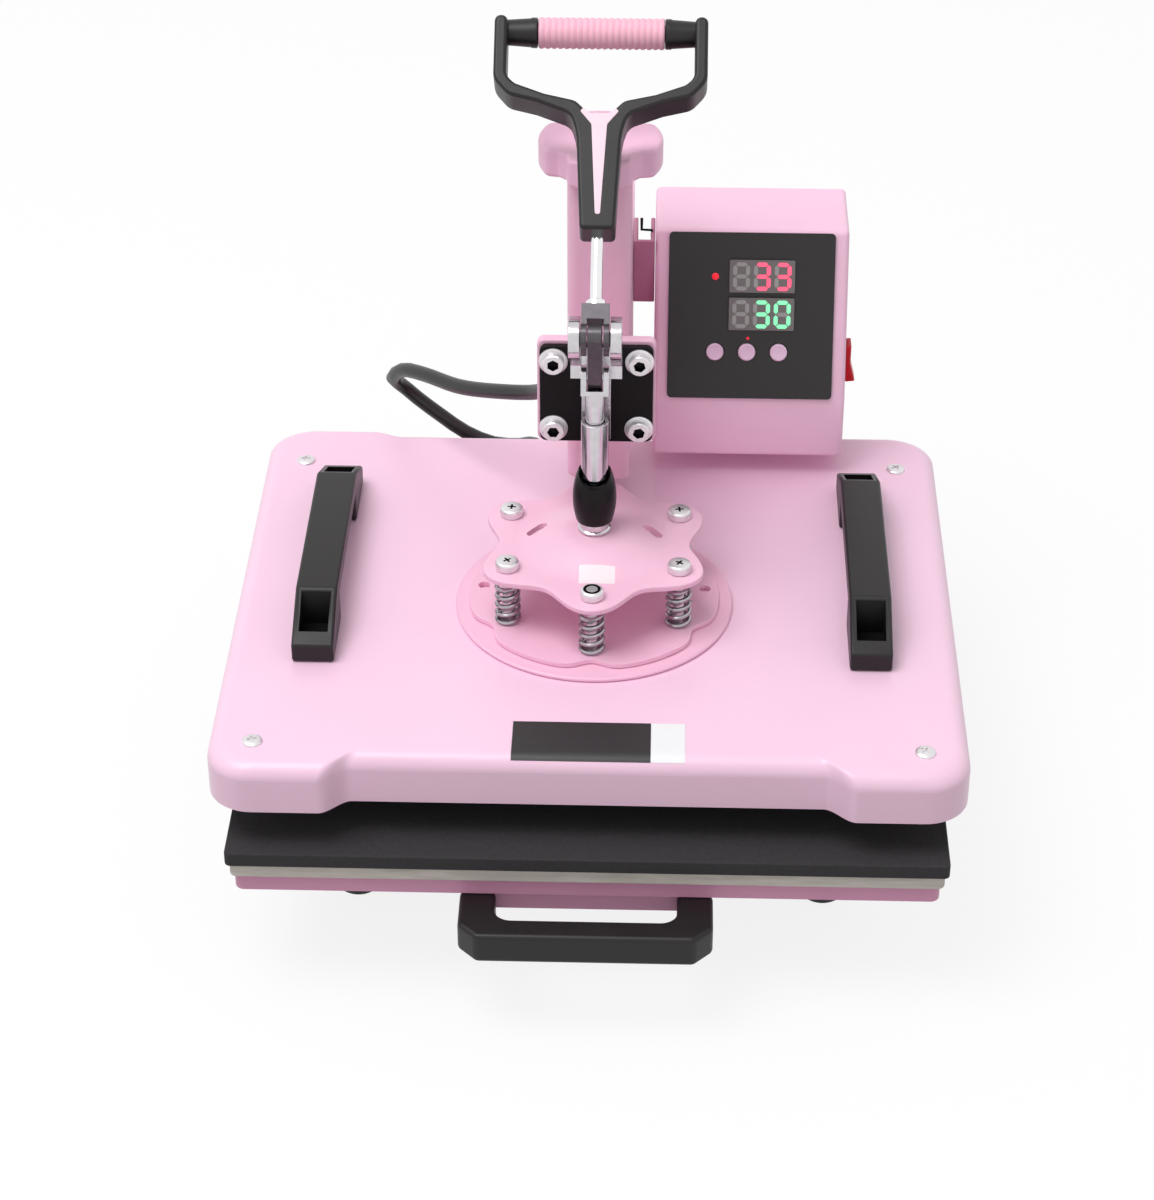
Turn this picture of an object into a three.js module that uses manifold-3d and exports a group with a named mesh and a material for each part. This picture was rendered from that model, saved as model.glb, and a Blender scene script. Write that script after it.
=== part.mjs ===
// A swing-away heat press with a slide-out lower platen, in millimetres.
// +Z is up and the user stands on the -Y side. The model is laid out around
// the plunger: its axis is x = 0, y = 0, and the feet stand on z = 0.
import * as THREE from "three";
import { mergeVertices } from "three/addons/utils/BufferGeometryUtils.js";
import Module from "manifold-3d";

const wasm = await Module();
wasm.setup();

// Driving dimensions

// Room between pieces: seat is for pieces that rest on each other.
const room = { seat: 0.3, slide: 0.5, bore: 0.5, cheek: 0.6 };
const overrun = 2;
const weldSink = 1;
const mergeTolerance = 1e-4;

const foot = { radius: 15, baseRadius: 12.5, height: 10, inset: 18 };
const frame = { railSpacing: 260, tube: 30, wall: 2.5, frontReach: 95, behindSwing: 38 };
const socket = { radius: 30, height: 87, floor: 8, plateWidth: 110, plateDepth: 68, plateHeight: 6 };
const swing = { reach: 228, shaftRadius: 20, shaftLength: 74, collarRadius: 29, collarHeight: 4 };

const guide = { width: 144, wall: 2.5, lipWidth: 9, socketGap: 14 };
const tray = {
  width: 120, height: 19.5, wall: 2.5, flange: 5.5, frontReach: 146, rearReach: 110,
  frontWidth: 126, frontHeight: 12.5, frontSetBack: 4, frontWall: 3,
};
const pull = { width: 134, legWidth: 19, reach: 38, height: 18, grip: 15, chamfer: 10, innerRadius: 9 };
const lowerPlate = { width: 373, depth: 297, height: 10, wall: 3, corner: 5 };
const board = { width: 377, depth: 301, height: 8, corner: 4 };
const pad = { width: 381, depth: 305, height: 8.5, corner: 3, frontReach: 166.5 };

const opening = { height: 18, contactRoom: 0.6 };
const heater = { sideInset: 9.5, endInset: 20, height: 12, corner: 14, proud: 3 };
const cover = {
  width: 400, depth: 345, height: 29, wall: 2, corner: 24, roll: 9, centreBack: 14.5,
  recess: 11, rearRecess: 5.5, recessShare: 0.62, recessBlend: 17,
};
const ring = { radius: 77, height: 2.5 };
const flange = { radius: 69.5, height: 3, notch: 6, holeRadius: 3.2, holeAside: 61.5, holeBack: 7 };
const star = {
  tip: 67, waist: 52.5, height: 3.5, domeRadius: 40, domeTop: 12, domeHeight: 9,
  screwCircle: 54, slotLength: 13, slotWidth: 6.5, slotCircle: 32,
};
const spring = { meanRadius: 6, wireRadius: 1, length: 30, turns: 5 };
const screw = { radius: 3, headRadius: 6, headHeight: 5 };
const sideHandle = {
  length: 186, height: 27, width: 23, bar: 10, foot: 34, footLip: 11, footBase: 44,
  edgeInset: 48.8, centreBack: 30.5,
};

const plunger = { radius: 5, footRadius: 9, footHeight: 4, forkRadius: 6, forkDrop: 9, pinRadius: 2.5 };
const flangeNut = { radius: 9, height: 6 };
const sleeve = { height: 32, endRadius: 9, bellyRadius: 12, mouthDepth: 8, mouthWall: 1.5 };
const guideTube = { radius: 7.5, sleeveOverlap: 4 };

const toggle = {
  crank: 10, link: 30, pivotAbovePlate: 24, linkWidth: 7.8, cheek: 3, ear: 6, earRadius: 11,
  trunnionRadius: 4, hubRadius: 9, crankRadius: 6, linkRadius: 5.5, backWall: 3.5,
  webWidth: 8, earDrop: 36, backDrop: 6, backHalf: 8,
};
const lever = { travelDeg: 130, leanDeg: 48, yokeStart: 9.5, yokeLength: 8.5, rodRadius: 3.2, rodInFork: 16 };
const toggleBase = { width: 62, height: 60, thickness: 3.5, standOff: 34.5 };
const toggleBolt = { radius: 7, height: 6, inset: 7.5, sides: 6 };
const mounting = { width: 65, height: 64, thickness: 6, corner: 4 };

const fork = {
  bottom: 58, thickness: 22, stemHalf: 9.4, neckHalf: 12, neck: 109, crotch: 123.5,
  armLow: 126.5, armRise: 6, armHalf: 57.6, armHigh: 172, top: 180, band: 7, armBand: 7.5, bend: 8,
};
const grip = {
  height: 174, rodRadius: 4.5, collarRadius: 7, length: 68.5, radius: 8.5, ribs: 12, ribDepth: 0.8,
};

const column = { width: 36, depth: 50, wall: 3, front: 99, aboveCover: 20, height: 189, topWall: 4 };
const beam = { width: 36, height: 60, topBelowColumn: 72, wall: 4, wirePass: 8 };
const rearLeg = { depth: 48 };
const leadScrew = { radius: 5, collarRadius: 9, collarHeight: 4, belowNut: 6 };
const nut = { height: 20, stemWidth: 12 };
const carriage = { travel: 6, slotRoom: 2, blockWidth: 32, blockHeight: 26, blockUp: 1 };
const knob = { radius: 34.5, lobes: 4, lobeDepth: 4.9, height: 17, bevel: 3, boreDepth: 10 };

const controlBox = {
  left: 31, width: 112, aboveCover: 13, front: 138, facet: 38, slantLength: 100, slantDeg: 20,
  topDepth: 56, wall: 2, backWall: 2,
};
const panel = { width: 96, height: 97, thickness: 1.5 };
const display = { width: 38, height: 19, thickness: 2, rightInset: 23, topInset: 15.5, pitch: 22 };
const button = { radius: 5, proud: 2, length: 7, travel: 1.5, pitch: 18.5, height: 27.5, centreShift: -2 };
const rocker = {
  width: 10, height: 24, depth: 12, proud: 3.5, tiltDeg: 7, windowRoom: 2.5, back: 22, up: 53.5,
};
const bracket = { wall: 2.5, front: 30, depth: 30, height: 40, lift: 22 };

const gland = { radius: 7, length: 12, sideInset: 7, up: 12 };
const mainsGland = { radius: 7, length: 11, bore: 3.8, up: 26 };
const cable = { radius: 4.5, sides: 8, steps: 30 };
const cableHole = { radius: 7, side: -40, below: 15 };
const cableInside = 12;

// Shares and counts of shapes
const roundSides = 20;
const fineSides = 32;
const boltSides = 12;
const cornerSteps = 5;
const wavePoints = 60;
const fineSteps = 72;
const springSteps = 8;
const springSides = 5;
const starLobes = 6;
const sleeveWaistShares = [[0, 0], [0.25, 0.75], [0.5, 1], [0.75, 0.8], [1, 0.2]];
const rollShares = [0, 0.3, 0.6, 1];
const knobNotchShares = [0.11, 0.38];

// Levels, from the table up

const level = {};
level.frame = foot.height + room.seat;
level.frameTop = level.frame + frame.tube;
level.guide = level.frameTop + room.seat;
level.tray = level.guide + guide.wall + room.slide;
level.plate = level.tray + tray.height + room.seat;
level.board = level.plate + lowerPlate.height + room.seat;
level.pad = level.board + board.height + room.seat;
level.padTop = level.pad + pad.height;
level.heater = level.padTop + opening.height;
level.coverLip = level.heater + heater.proud;
level.coverTop = level.coverLip + cover.height;
level.ring = level.coverTop + room.seat;
level.flange = level.ring + ring.height + room.seat;
level.flangeTop = level.flange + flange.height;
level.star = level.flangeTop + spring.length + 2 * room.seat;
level.starTop = level.star + star.height;
level.nut = level.starTop + star.domeHeight + room.seat;
level.sleeve = level.nut + flangeNut.height + room.seat;
level.sleeveTop = level.sleeve + sleeve.height;
level.column = level.coverTop + column.aboveCover;
level.columnTop = level.column + column.height;
level.beamTop = level.columnTop - beam.topBelowColumn;
level.beam = level.beamTop - beam.height;
level.socketTop = level.frameTop + socket.height;
level.collar = level.socketTop + room.seat;
level.leg = level.collar + swing.collarHeight + room.seat;
level.controlBox = level.coverTop + controlBox.aboveCover;

// Toggle: the crank turns lever.travelDeg and ends straight above the plunger.
const openAngle = THREE.MathUtils.degToRad(lever.travelDeg);
const crankOut = toggle.crank * Math.sin(openAngle);
const linkTilt = Math.asin(crankOut / toggle.link);
const openDrop = toggle.crank * Math.cos(openAngle) + toggle.link * Math.cos(linkTilt);
const closedDrop = toggle.crank + toggle.link;
const stroke = opening.height - opening.contactRoom;
const forkClearance = 1;
level.guideTube = level.sleeveTop - guideTube.sleeveOverlap;
level.toggleBase = level.guideTube + room.seat;
level.toggleBaseTop = level.toggleBase + toggleBase.height;
level.plateMiddle = level.toggleBase + toggleBase.height / 2;
level.block = level.plateMiddle - mounting.height / 2 + carriage.blockUp;
level.nutMiddle = level.block + carriage.blockHeight / 2;
level.pivot = level.toggleBaseTop + toggle.pivotAbovePlate;
level.linkPin = level.pivot - openDrop;
level.guideTubeTop = level.linkPin - stroke - plunger.forkDrop - forkClearance;

// Depths, from the plunger axis back

const depth = {};
depth.toggleBase = toggleBase.standOff;
depth.mounting = depth.toggleBase + toggleBase.thickness + room.seat;
depth.block = depth.mounting + mounting.thickness + room.seat;
depth.column = column.front;
depth.columnBack = depth.column + column.depth;
depth.columnCentre = depth.column + column.depth / 2;
depth.legFront = swing.reach - rearLeg.depth / 2;
depth.legBack = swing.reach + rearLeg.depth / 2;
depth.padCentre = pad.depth / 2 - pad.frontReach;
depth.plateFront = depth.padCentre - lowerPlate.depth / 2;
depth.trayPanel = depth.plateFront + tray.frontSetBack;
depth.coverBack = cover.centreBack + cover.depth / 2 - cover.rearRecess;
depth.frameBack = swing.reach + frame.behindSwing;
depth.trackBack = swing.reach - socket.plateDepth / 2 - guide.socketGap;

// Materials

function paint(colour, roughness, metalness) {
  return new THREE.MeshStandardMaterial({ color: colour, roughness, metalness });
}
const pink = paint("#f0c4dc", 0.35, 0.1);
const deepPink = paint("#e6a6c8", 0.4, 0.1);
const blackPlastic = paint("#3c3638", 0.5, 0);
const blackSteel = paint("#1f171b", 0.4, 0.3);
const rubber = paint("#1c191a", 0.8, 0);
const chrome = paint("#cfcfd2", 0.2, 1);
const zincSteel = paint("#b9b9bd", 0.35, 0.9);
const aluminium = paint("#c4c4c6", 0.4, 0.9);
const silicone = paint("#4a4748", 0.85, 0);
const fibreBoard = paint("#b9b0a3", 0.9, 0);
const glassWool = paint("#e8e2d2", 0.95, 0);
const displayGlass = paint("#8c8a88", 0.2, 0);
const redPlastic = paint("#d2202c", 0.35, 0);
const gripFoam = paint("#f2bdd2", 0.7, 0);

// Solids

function solid(geometry) {
  const bare = geometry.clone();
  bare.deleteAttribute("normal");
  bare.deleteAttribute("uv");
  const merged = mergeVertices(bare, mergeTolerance);
  const corners = merged.index.array;
  const kept = [];
  for (let i = 0; i < corners.length; i += 3) {
    const [a, b, c] = [corners[i], corners[i + 1], corners[i + 2]];
    if (a !== b && b !== c && c !== a) kept.push(a, b, c);
  }
  return new wasm.Manifold(new wasm.Mesh({
    numProp: 3,
    vertProperties: new Float32Array(merged.attributes.position.array),
    triVerts: new Uint32Array(kept),
  }));
}

function geometryOf(body) {
  const mesh = body.getMesh();
  const geometry = new THREE.BufferGeometry();
  geometry.setAttribute("position", new THREE.BufferAttribute(new Float32Array(mesh.vertProperties), 3));
  geometry.setIndex(new THREE.BufferAttribute(new Uint32Array(mesh.triVerts), 1));
  geometry.computeVertexNormals();
  return geometry;
}

function join(...geometries) {
  return geometryOf(geometries.map(solid).reduce((whole, next) => whole.add(next)));
}

function cut(geometry, ...tools) {
  return geometryOf(tools.map(solid).reduce((left, tool) => left.subtract(tool), solid(geometry)));
}

// A block between two corners.
function block(x0, x1, y0, y1, z0, z1) {
  const box = new THREE.BoxGeometry(x1 - x0, y1 - y0, z1 - z0);
  return box.translate((x0 + x1) / 2, (y0 + y1) / 2, (z0 + z1) / 2);
}

// An upright rod from z0 to z1.
function rod(radius, z0, z1, sides = roundSides) {
  const cylinder = new THREE.CylinderGeometry(radius, radius, z1 - z0, sides);
  return cylinder.rotateX(Math.PI / 2).translate(0, 0, (z0 + z1) / 2);
}

// A rod along X, from x0 to x1, through the point (y, z).
function rodAcross(radius, x0, x1, y, z, sides = roundSides) {
  const cylinder = new THREE.CylinderGeometry(radius, radius, x1 - x0, sides);
  return cylinder.rotateZ(Math.PI / 2).translate((x0 + x1) / 2, y, z);
}

// A turned piece: pairs of radius and height, counter-clockwise and closed.
function turned(profile, sides = roundSides) {
  const points = profile.map(([radius, height]) => new THREE.Vector2(radius, height));
  return new THREE.LatheGeometry(points, sides).rotateX(Math.PI / 2);
}

function tube(outer, inner, z0, z1, sides = roundSides) {
  return turned([[inner, z0], [outer, z0], [outer, z1], [inner, z1], [inner, z0]], sides);
}

// A flat shape standing from z0 to z1.
function upright(shape, z0, z1) {
  const flat = new THREE.ExtrudeGeometry(shape, {
    depth: z1 - z0, bevelEnabled: false, curveSegments: cornerSteps,
  });
  return flat.translate(0, 0, z0);
}

// A side view, drawn in Y and Z, running from x0 to x1.
function across(shape, x0, x1) {
  const flat = new THREE.ExtrudeGeometry(shape, {
    depth: x1 - x0, bevelEnabled: false, curveSegments: cornerSteps,
  });
  const basis = new THREE.Matrix4().makeBasis(
    new THREE.Vector3(0, 1, 0),
    new THREE.Vector3(0, 0, 1),
    new THREE.Vector3(1, 0, 0),
  );
  return flat.applyMatrix4(basis).translate(x0, 0, 0);
}

function outline(points) {
  return new THREE.Shape(points.map(([x, y]) => new THREE.Vector2(x, y)));
}

function roundedRectangle(width, length, radius, centreY = 0) {
  const [x, y] = [width / 2, length / 2];
  const shape = new THREE.Shape();
  shape.moveTo(-x + radius, centreY - y);
  shape.lineTo(x - radius, centreY - y);
  shape.absarc(x - radius, centreY - y + radius, radius, -Math.PI / 2, 0);
  shape.lineTo(x, centreY + y - radius);
  shape.absarc(x - radius, centreY + y - radius, radius, 0, Math.PI / 2);
  shape.lineTo(-x + radius, centreY + y);
  shape.absarc(-x + radius, centreY + y - radius, radius, Math.PI / 2, Math.PI);
  shape.lineTo(-x, centreY - y + radius);
  shape.absarc(-x + radius, centreY - y + radius, radius, Math.PI, 1.5 * Math.PI);
  return shape;
}

// A closed outline whose radius follows the angle.
function wavy(radiusAt, count = wavePoints) {
  const points = [];
  for (let i = 0; i < count; i += 1) {
    const angle = (2 * Math.PI * i) / count;
    const radius = radiusAt(angle);
    points.push([radius * Math.cos(angle), radius * Math.sin(angle)]);
  }
  return outline(points);
}

// A closed skin over rings of equally many points, the first ring lowest.
function loft(rings) {
  const count = rings[0].length;
  const positions = rings.flat().flatMap((point) => [point.x, point.y, point.z]);
  const faces = [];
  for (let row = 0; row < rings.length - 1; row += 1) {
    for (let i = 0; i < count; i += 1) {
      const a = row * count + i;
      const b = row * count + ((i + 1) % count);
      faces.push(a, b, b + count, a, b + count, a + count);
    }
  }
  const lid = THREE.ShapeUtils.triangulateShape(
    rings[0].map((point) => new THREE.Vector2(point.x, point.y)), [],
  );
  const top = (rings.length - 1) * count;
  for (const [a, b, c] of lid) {
    faces.push(a, c, b, top + a, top + b, top + c);
  }
  const geometry = new THREE.BufferGeometry();
  geometry.setAttribute("position", new THREE.Float32BufferAttribute(positions, 3));
  geometry.setIndex(faces);
  return geometry;
}

function add(group, name, geometry, material) {
  const mesh = new THREE.Mesh(geometry, material);
  mesh.name = name;
  group.add(mesh);
  return mesh;
}

function makeGroup(parent) {
  const group = new THREE.Group();
  parent.add(group);
  return group;
}

const sides = [["left", -1], ["right", 1]];

// Base: a welded tube frame on four feet, with the socket that the arm turns in

function buildBase(press) {
  const base = makeGroup(press);
  const railX = frame.railSpacing / 2;
  const half = frame.tube / 2;
  const rails = (grow, end) => sides.map(([, side]) => block(
    side * railX - half + grow, side * railX + half - grow,
    -frame.frontReach - end, depth.frameBack + end,
    level.frame + grow, level.frameTop - grow,
  ));
  const crossbars = (grow) => [-frame.frontReach, depth.frameBack - frame.tube].map((start) => block(
    -railX, railX, start + grow, start + frame.tube - grow, level.frame + grow, level.frameTop - grow,
  ));
  const socketPlate = block(
    -socket.plateWidth / 2, socket.plateWidth / 2,
    swing.reach - socket.plateDepth / 2, swing.reach + socket.plateDepth / 2,
    level.frameTop - weldSink, level.frameTop + socket.plateHeight,
  );
  const socketTube = rod(socket.radius, level.frameTop - weldSink, level.socketTop, fineSides)
    .translate(0, swing.reach, 0);
  const bore = rod(
    swing.shaftRadius + room.bore, level.frameTop + socket.floor, level.socketTop + overrun, fineSides,
  ).translate(0, swing.reach, 0);
  const welded = join(...rails(0, 0), ...crossbars(0), socketPlate, socketTube);
  const hollow = join(...rails(frame.wall, overrun), ...crossbars(frame.wall));
  add(base, "base_frame", cut(welded, hollow, bore), pink);

  for (const [sideName, side] of sides) {
    for (const [endName, y] of [
      ["front", -frame.frontReach + foot.inset], ["rear", depth.frameBack - foot.inset],
    ]) {
      const profile = [[0, 0], [foot.baseRadius, 0], [foot.radius, foot.height], [0, foot.height]];
      add(base, `foot_${endName}_${sideName}`, turned(profile), rubber)
        .position.set(side * railX, y, 0);
    }
  }

  // The track holds the tray's flanges between a floor and two lips.
  const track = block(
    -guide.width / 2, guide.width / 2, -frame.frontReach, depth.trackBack,
    level.guide, level.tray + tray.wall + room.slide + guide.wall,
  );
  const channel = block(
    -guide.width / 2 + guide.wall, guide.width / 2 - guide.wall,
    -frame.frontReach - overrun, depth.trackBack + overrun,
    level.guide + guide.wall, level.tray + tray.wall + room.slide,
  );
  const mouth = block(
    -guide.width / 2 + guide.lipWidth, guide.width / 2 - guide.lipWidth,
    -frame.frontReach - overrun, depth.trackBack + overrun,
    level.guide + guide.wall, level.plate,
  );
  add(base, "drawer_track", cut(track, channel, mouth), zincSteel);
}

// Drawer: tray, lower plate, board, silicone pad and pull handle

function buildDrawer(press) {
  const drawer = makeGroup(press);
  const half = tray.width / 2;
  const top = level.tray + tray.height;
  const pan = block(-half, half, -tray.frontReach, tray.rearReach, level.tray, top);
  const inside = block(
    -half + tray.wall, half - tray.wall, -tray.frontReach - overrun, tray.rearReach - tray.wall,
    level.tray + tray.wall, top + overrun,
  );
  const flanges = block(
    -half - tray.flange, half + tray.flange, -tray.frontReach, tray.rearReach,
    level.tray, level.tray + tray.wall,
  );
  const cheeks = sides.map(([, side]) => block(
    side * (half - tray.wall / 2) - tray.wall / 2, side * (half - tray.wall / 2) + tray.wall / 2,
    depth.trayPanel, -tray.frontReach + weldSink, top - tray.frontHeight, top,
  ));
  const face = block(
    -tray.frontWidth / 2, tray.frontWidth / 2, depth.trayPanel, depth.trayPanel + tray.frontWall,
    top - tray.frontHeight, top,
  );
  add(drawer, "drawer_tray", join(cut(pan, inside), flanges, ...cheeks, face), deepPink);

  const plate = upright(
    roundedRectangle(lowerPlate.width, lowerPlate.depth, lowerPlate.corner, depth.padCentre),
    level.plate, level.plate + lowerPlate.height,
  );
  const plateHollow = upright(
    roundedRectangle(
      lowerPlate.width - 2 * lowerPlate.wall, lowerPlate.depth - 2 * lowerPlate.wall,
      lowerPlate.corner - lowerPlate.wall / 2, depth.padCentre,
    ),
    level.plate - overrun, level.plate + lowerPlate.height - lowerPlate.wall,
  );
  // A rib frame inside the lip carries the plate on the tray.
  const rib = (side) => block(
    side * (half - tray.wall) - tray.wall, side * (half - tray.wall) + tray.wall,
    -tray.frontReach, tray.rearReach, level.plate, level.plate + lowerPlate.height - lowerPlate.wall / 2,
  );
  add(drawer, "lower_plate", join(cut(plate, plateHollow), rib(-1), rib(1)), deepPink);

  add(drawer, "lower_board", upright(
    roundedRectangle(board.width, board.depth, board.corner, depth.padCentre),
    level.board, level.board + board.height,
  ), fibreBoard);
  add(drawer, "silicone_pad", upright(
    roundedRectangle(pad.width, pad.depth, pad.corner, depth.padCentre), level.pad, level.padTop,
  ), silicone);

  const back = depth.trayPanel - room.seat;
  const front = back - pull.reach;
  const x = pull.width / 2;
  const grasp = outline([
    [x, back], [-x, back], [-x, front + pull.chamfer], [-x + pull.chamfer, front],
    [x - pull.chamfer, front], [x, front + pull.chamfer],
  ]);
  const inner = x - pull.legWidth;
  const gap = new THREE.Path();
  gap.moveTo(inner, back + overrun);
  gap.lineTo(inner, front + pull.grip + pull.innerRadius);
  gap.absarc(
    inner - pull.innerRadius, front + pull.grip + pull.innerRadius, pull.innerRadius,
    0, -Math.PI / 2, true,
  );
  gap.lineTo(-inner + pull.innerRadius, front + pull.grip);
  gap.absarc(
    -inner + pull.innerRadius, front + pull.grip + pull.innerRadius, pull.innerRadius,
    -Math.PI / 2, -Math.PI, true,
  );
  gap.lineTo(-inner, back + overrun);
  const handleTop = level.plate - room.seat;
  const body = upright(grasp, handleTop - pull.height, handleTop);
  const space = upright(
    new THREE.Shape(gap.getPoints(cornerSteps)),
    handleTop - pull.height - overrun, handleTop + overrun,
  );
  add(drawer, "pull_handle", cut(body, space), blackPlastic);
}

// Platen: heater, insulation, cover, plates, springs, screws and side handles

function coverOutline(inset, z) {
  const [x, y] = [cover.width / 2, cover.depth / 2];
  const radius = cover.corner;
  const near = (cover.recessShare * cover.width) / 2;
  const far = near + cover.recessBlend;
  const shape = new THREE.Shape();
  shape.moveTo(-far, -y);
  shape.bezierCurveTo(-(far + near) / 2, -y, -(far + near) / 2, -y + cover.recess, -near, -y + cover.recess);
  shape.lineTo(near, -y + cover.recess);
  shape.bezierCurveTo((far + near) / 2, -y + cover.recess, (far + near) / 2, -y, far, -y);
  shape.lineTo(x - radius, -y);
  shape.absarc(x - radius, -y + radius, radius, -Math.PI / 2, 0);
  shape.lineTo(x, y - radius);
  shape.absarc(x - radius, y - radius, radius, 0, Math.PI / 2);
  const rear = y - cover.rearRecess;
  const bend = (far + near) / 2;
  shape.lineTo(far, y);
  shape.bezierCurveTo(bend, y, bend, rear, near, rear);
  shape.lineTo(-near, rear);
  shape.bezierCurveTo(-bend, rear, -bend, y, -far, y);
  shape.lineTo(-x + radius, y);
  shape.absarc(-x + radius, y - radius, radius, Math.PI / 2, Math.PI);
  shape.lineTo(-x, -y + radius);
  shape.absarc(-x + radius, -y + radius, radius, Math.PI, 1.5 * Math.PI);
  const points = shape.getPoints(cornerSteps);
  const last = points[points.length - 1];
  if (last.distanceTo(points[0]) < mergeTolerance) points.pop();
  return points.map((point) => new THREE.Vector3(
    point.x * (1 - inset / x), point.y * (1 - inset / y) + cover.centreBack, z,
  ));
}

function coverSkin(inset, bottom, top, roll) {
  const rings = [coverOutline(inset, bottom)];
  for (const share of rollShares) {
    const angle = (share * Math.PI) / 2;
    rings.push(coverOutline(
      inset + roll * (1 - Math.cos(angle)), top - roll * (1 - Math.sin(angle)),
    ));
  }
  return loft(rings);
}

function screwAngles() {
  return Array.from({ length: starLobes }, (_, i) => -Math.PI / 2 + (i * 2 * Math.PI) / starLobes);
}

function atAngle(radius, angle) {
  return [radius * Math.cos(angle), radius * Math.sin(angle)];
}

// One unbroken wire: a straight end, the turns, and a straight end.
function springGeometry() {
  const wire = spring.wireRadius;
  const straight = 2 * wire;
  const turnsHeight = spring.length - 2 * straight - 2 * wire;
  const count = spring.turns * springSteps;
  const path = [
    new THREE.Vector3(spring.meanRadius, 0, 0),
    new THREE.Vector3(spring.meanRadius, 0, straight),
  ];
  for (let i = 1; i < count; i += 1) {
    const angle = (2 * Math.PI * i) / springSteps;
    path.push(new THREE.Vector3(
      spring.meanRadius * Math.cos(angle), spring.meanRadius * Math.sin(angle),
      straight + wire + (turnsHeight * i) / count,
    ));
  }
  path.push(new THREE.Vector3(spring.meanRadius, 0, spring.length - straight));
  path.push(new THREE.Vector3(spring.meanRadius, 0, spring.length));

  const rings = path.map((point, i) => {
    const before = path[Math.max(i - 1, 0)];
    const after = path[Math.min(i + 1, path.length - 1)];
    const end = i === 0 || i === path.length - 1;
    const tangent = end ? new THREE.Vector3(0, 0, 1) : after.clone().sub(before).normalize();
    const outwards = new THREE.Vector3(point.x, point.y, 0).normalize();
    const side = outwards.clone().sub(tangent.clone().multiplyScalar(outwards.dot(tangent))).normalize();
    const upwards = new THREE.Vector3().crossVectors(tangent, side);
    return Array.from({ length: springSides }, (_, k) => {
      const angle = (2 * Math.PI * k) / springSides;
      return point.clone()
        .add(side.clone().multiplyScalar(wire * Math.cos(angle)))
        .add(upwards.clone().multiplyScalar(wire * Math.sin(angle)));
    });
  });
  return { geometry: tubeOfRings(rings), rings };
}

function tubeOfRings(rings) {
  const count = rings[0].length;
  const positions = rings.flat().flatMap((point) => [point.x, point.y, point.z]);
  const faces = [];
  for (let i = 0; i < rings.length - 1; i += 1) {
    for (let k = 0; k < count; k += 1) {
      const a = i * count + k;
      const b = i * count + ((k + 1) % count);
      faces.push(a, b, b + count, a, b + count, a + count);
    }
  }
  const last = (rings.length - 1) * count;
  for (let k = 1; k < count - 1; k += 1) {
    faces.push(0, k + 1, k, last, last + k, last + k + 1);
  }
  const geometry = new THREE.BufferGeometry();
  geometry.setAttribute("position", new THREE.Float32BufferAttribute(positions, 3));
  geometry.setIndex(faces);
  return geometry;
}

// The least distance between rings more than half a turn apart.
function leastSelfGap(rings) {
  let least = Infinity;
  for (let i = 0; i < rings.length; i += 1) {
    for (let j = i + springSteps / 2 + 1; j < rings.length; j += 1) {
      for (const a of rings[i]) {
        for (const b of rings[j]) least = Math.min(least, a.distanceTo(b));
      }
    }
  }
  return least;
}

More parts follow.
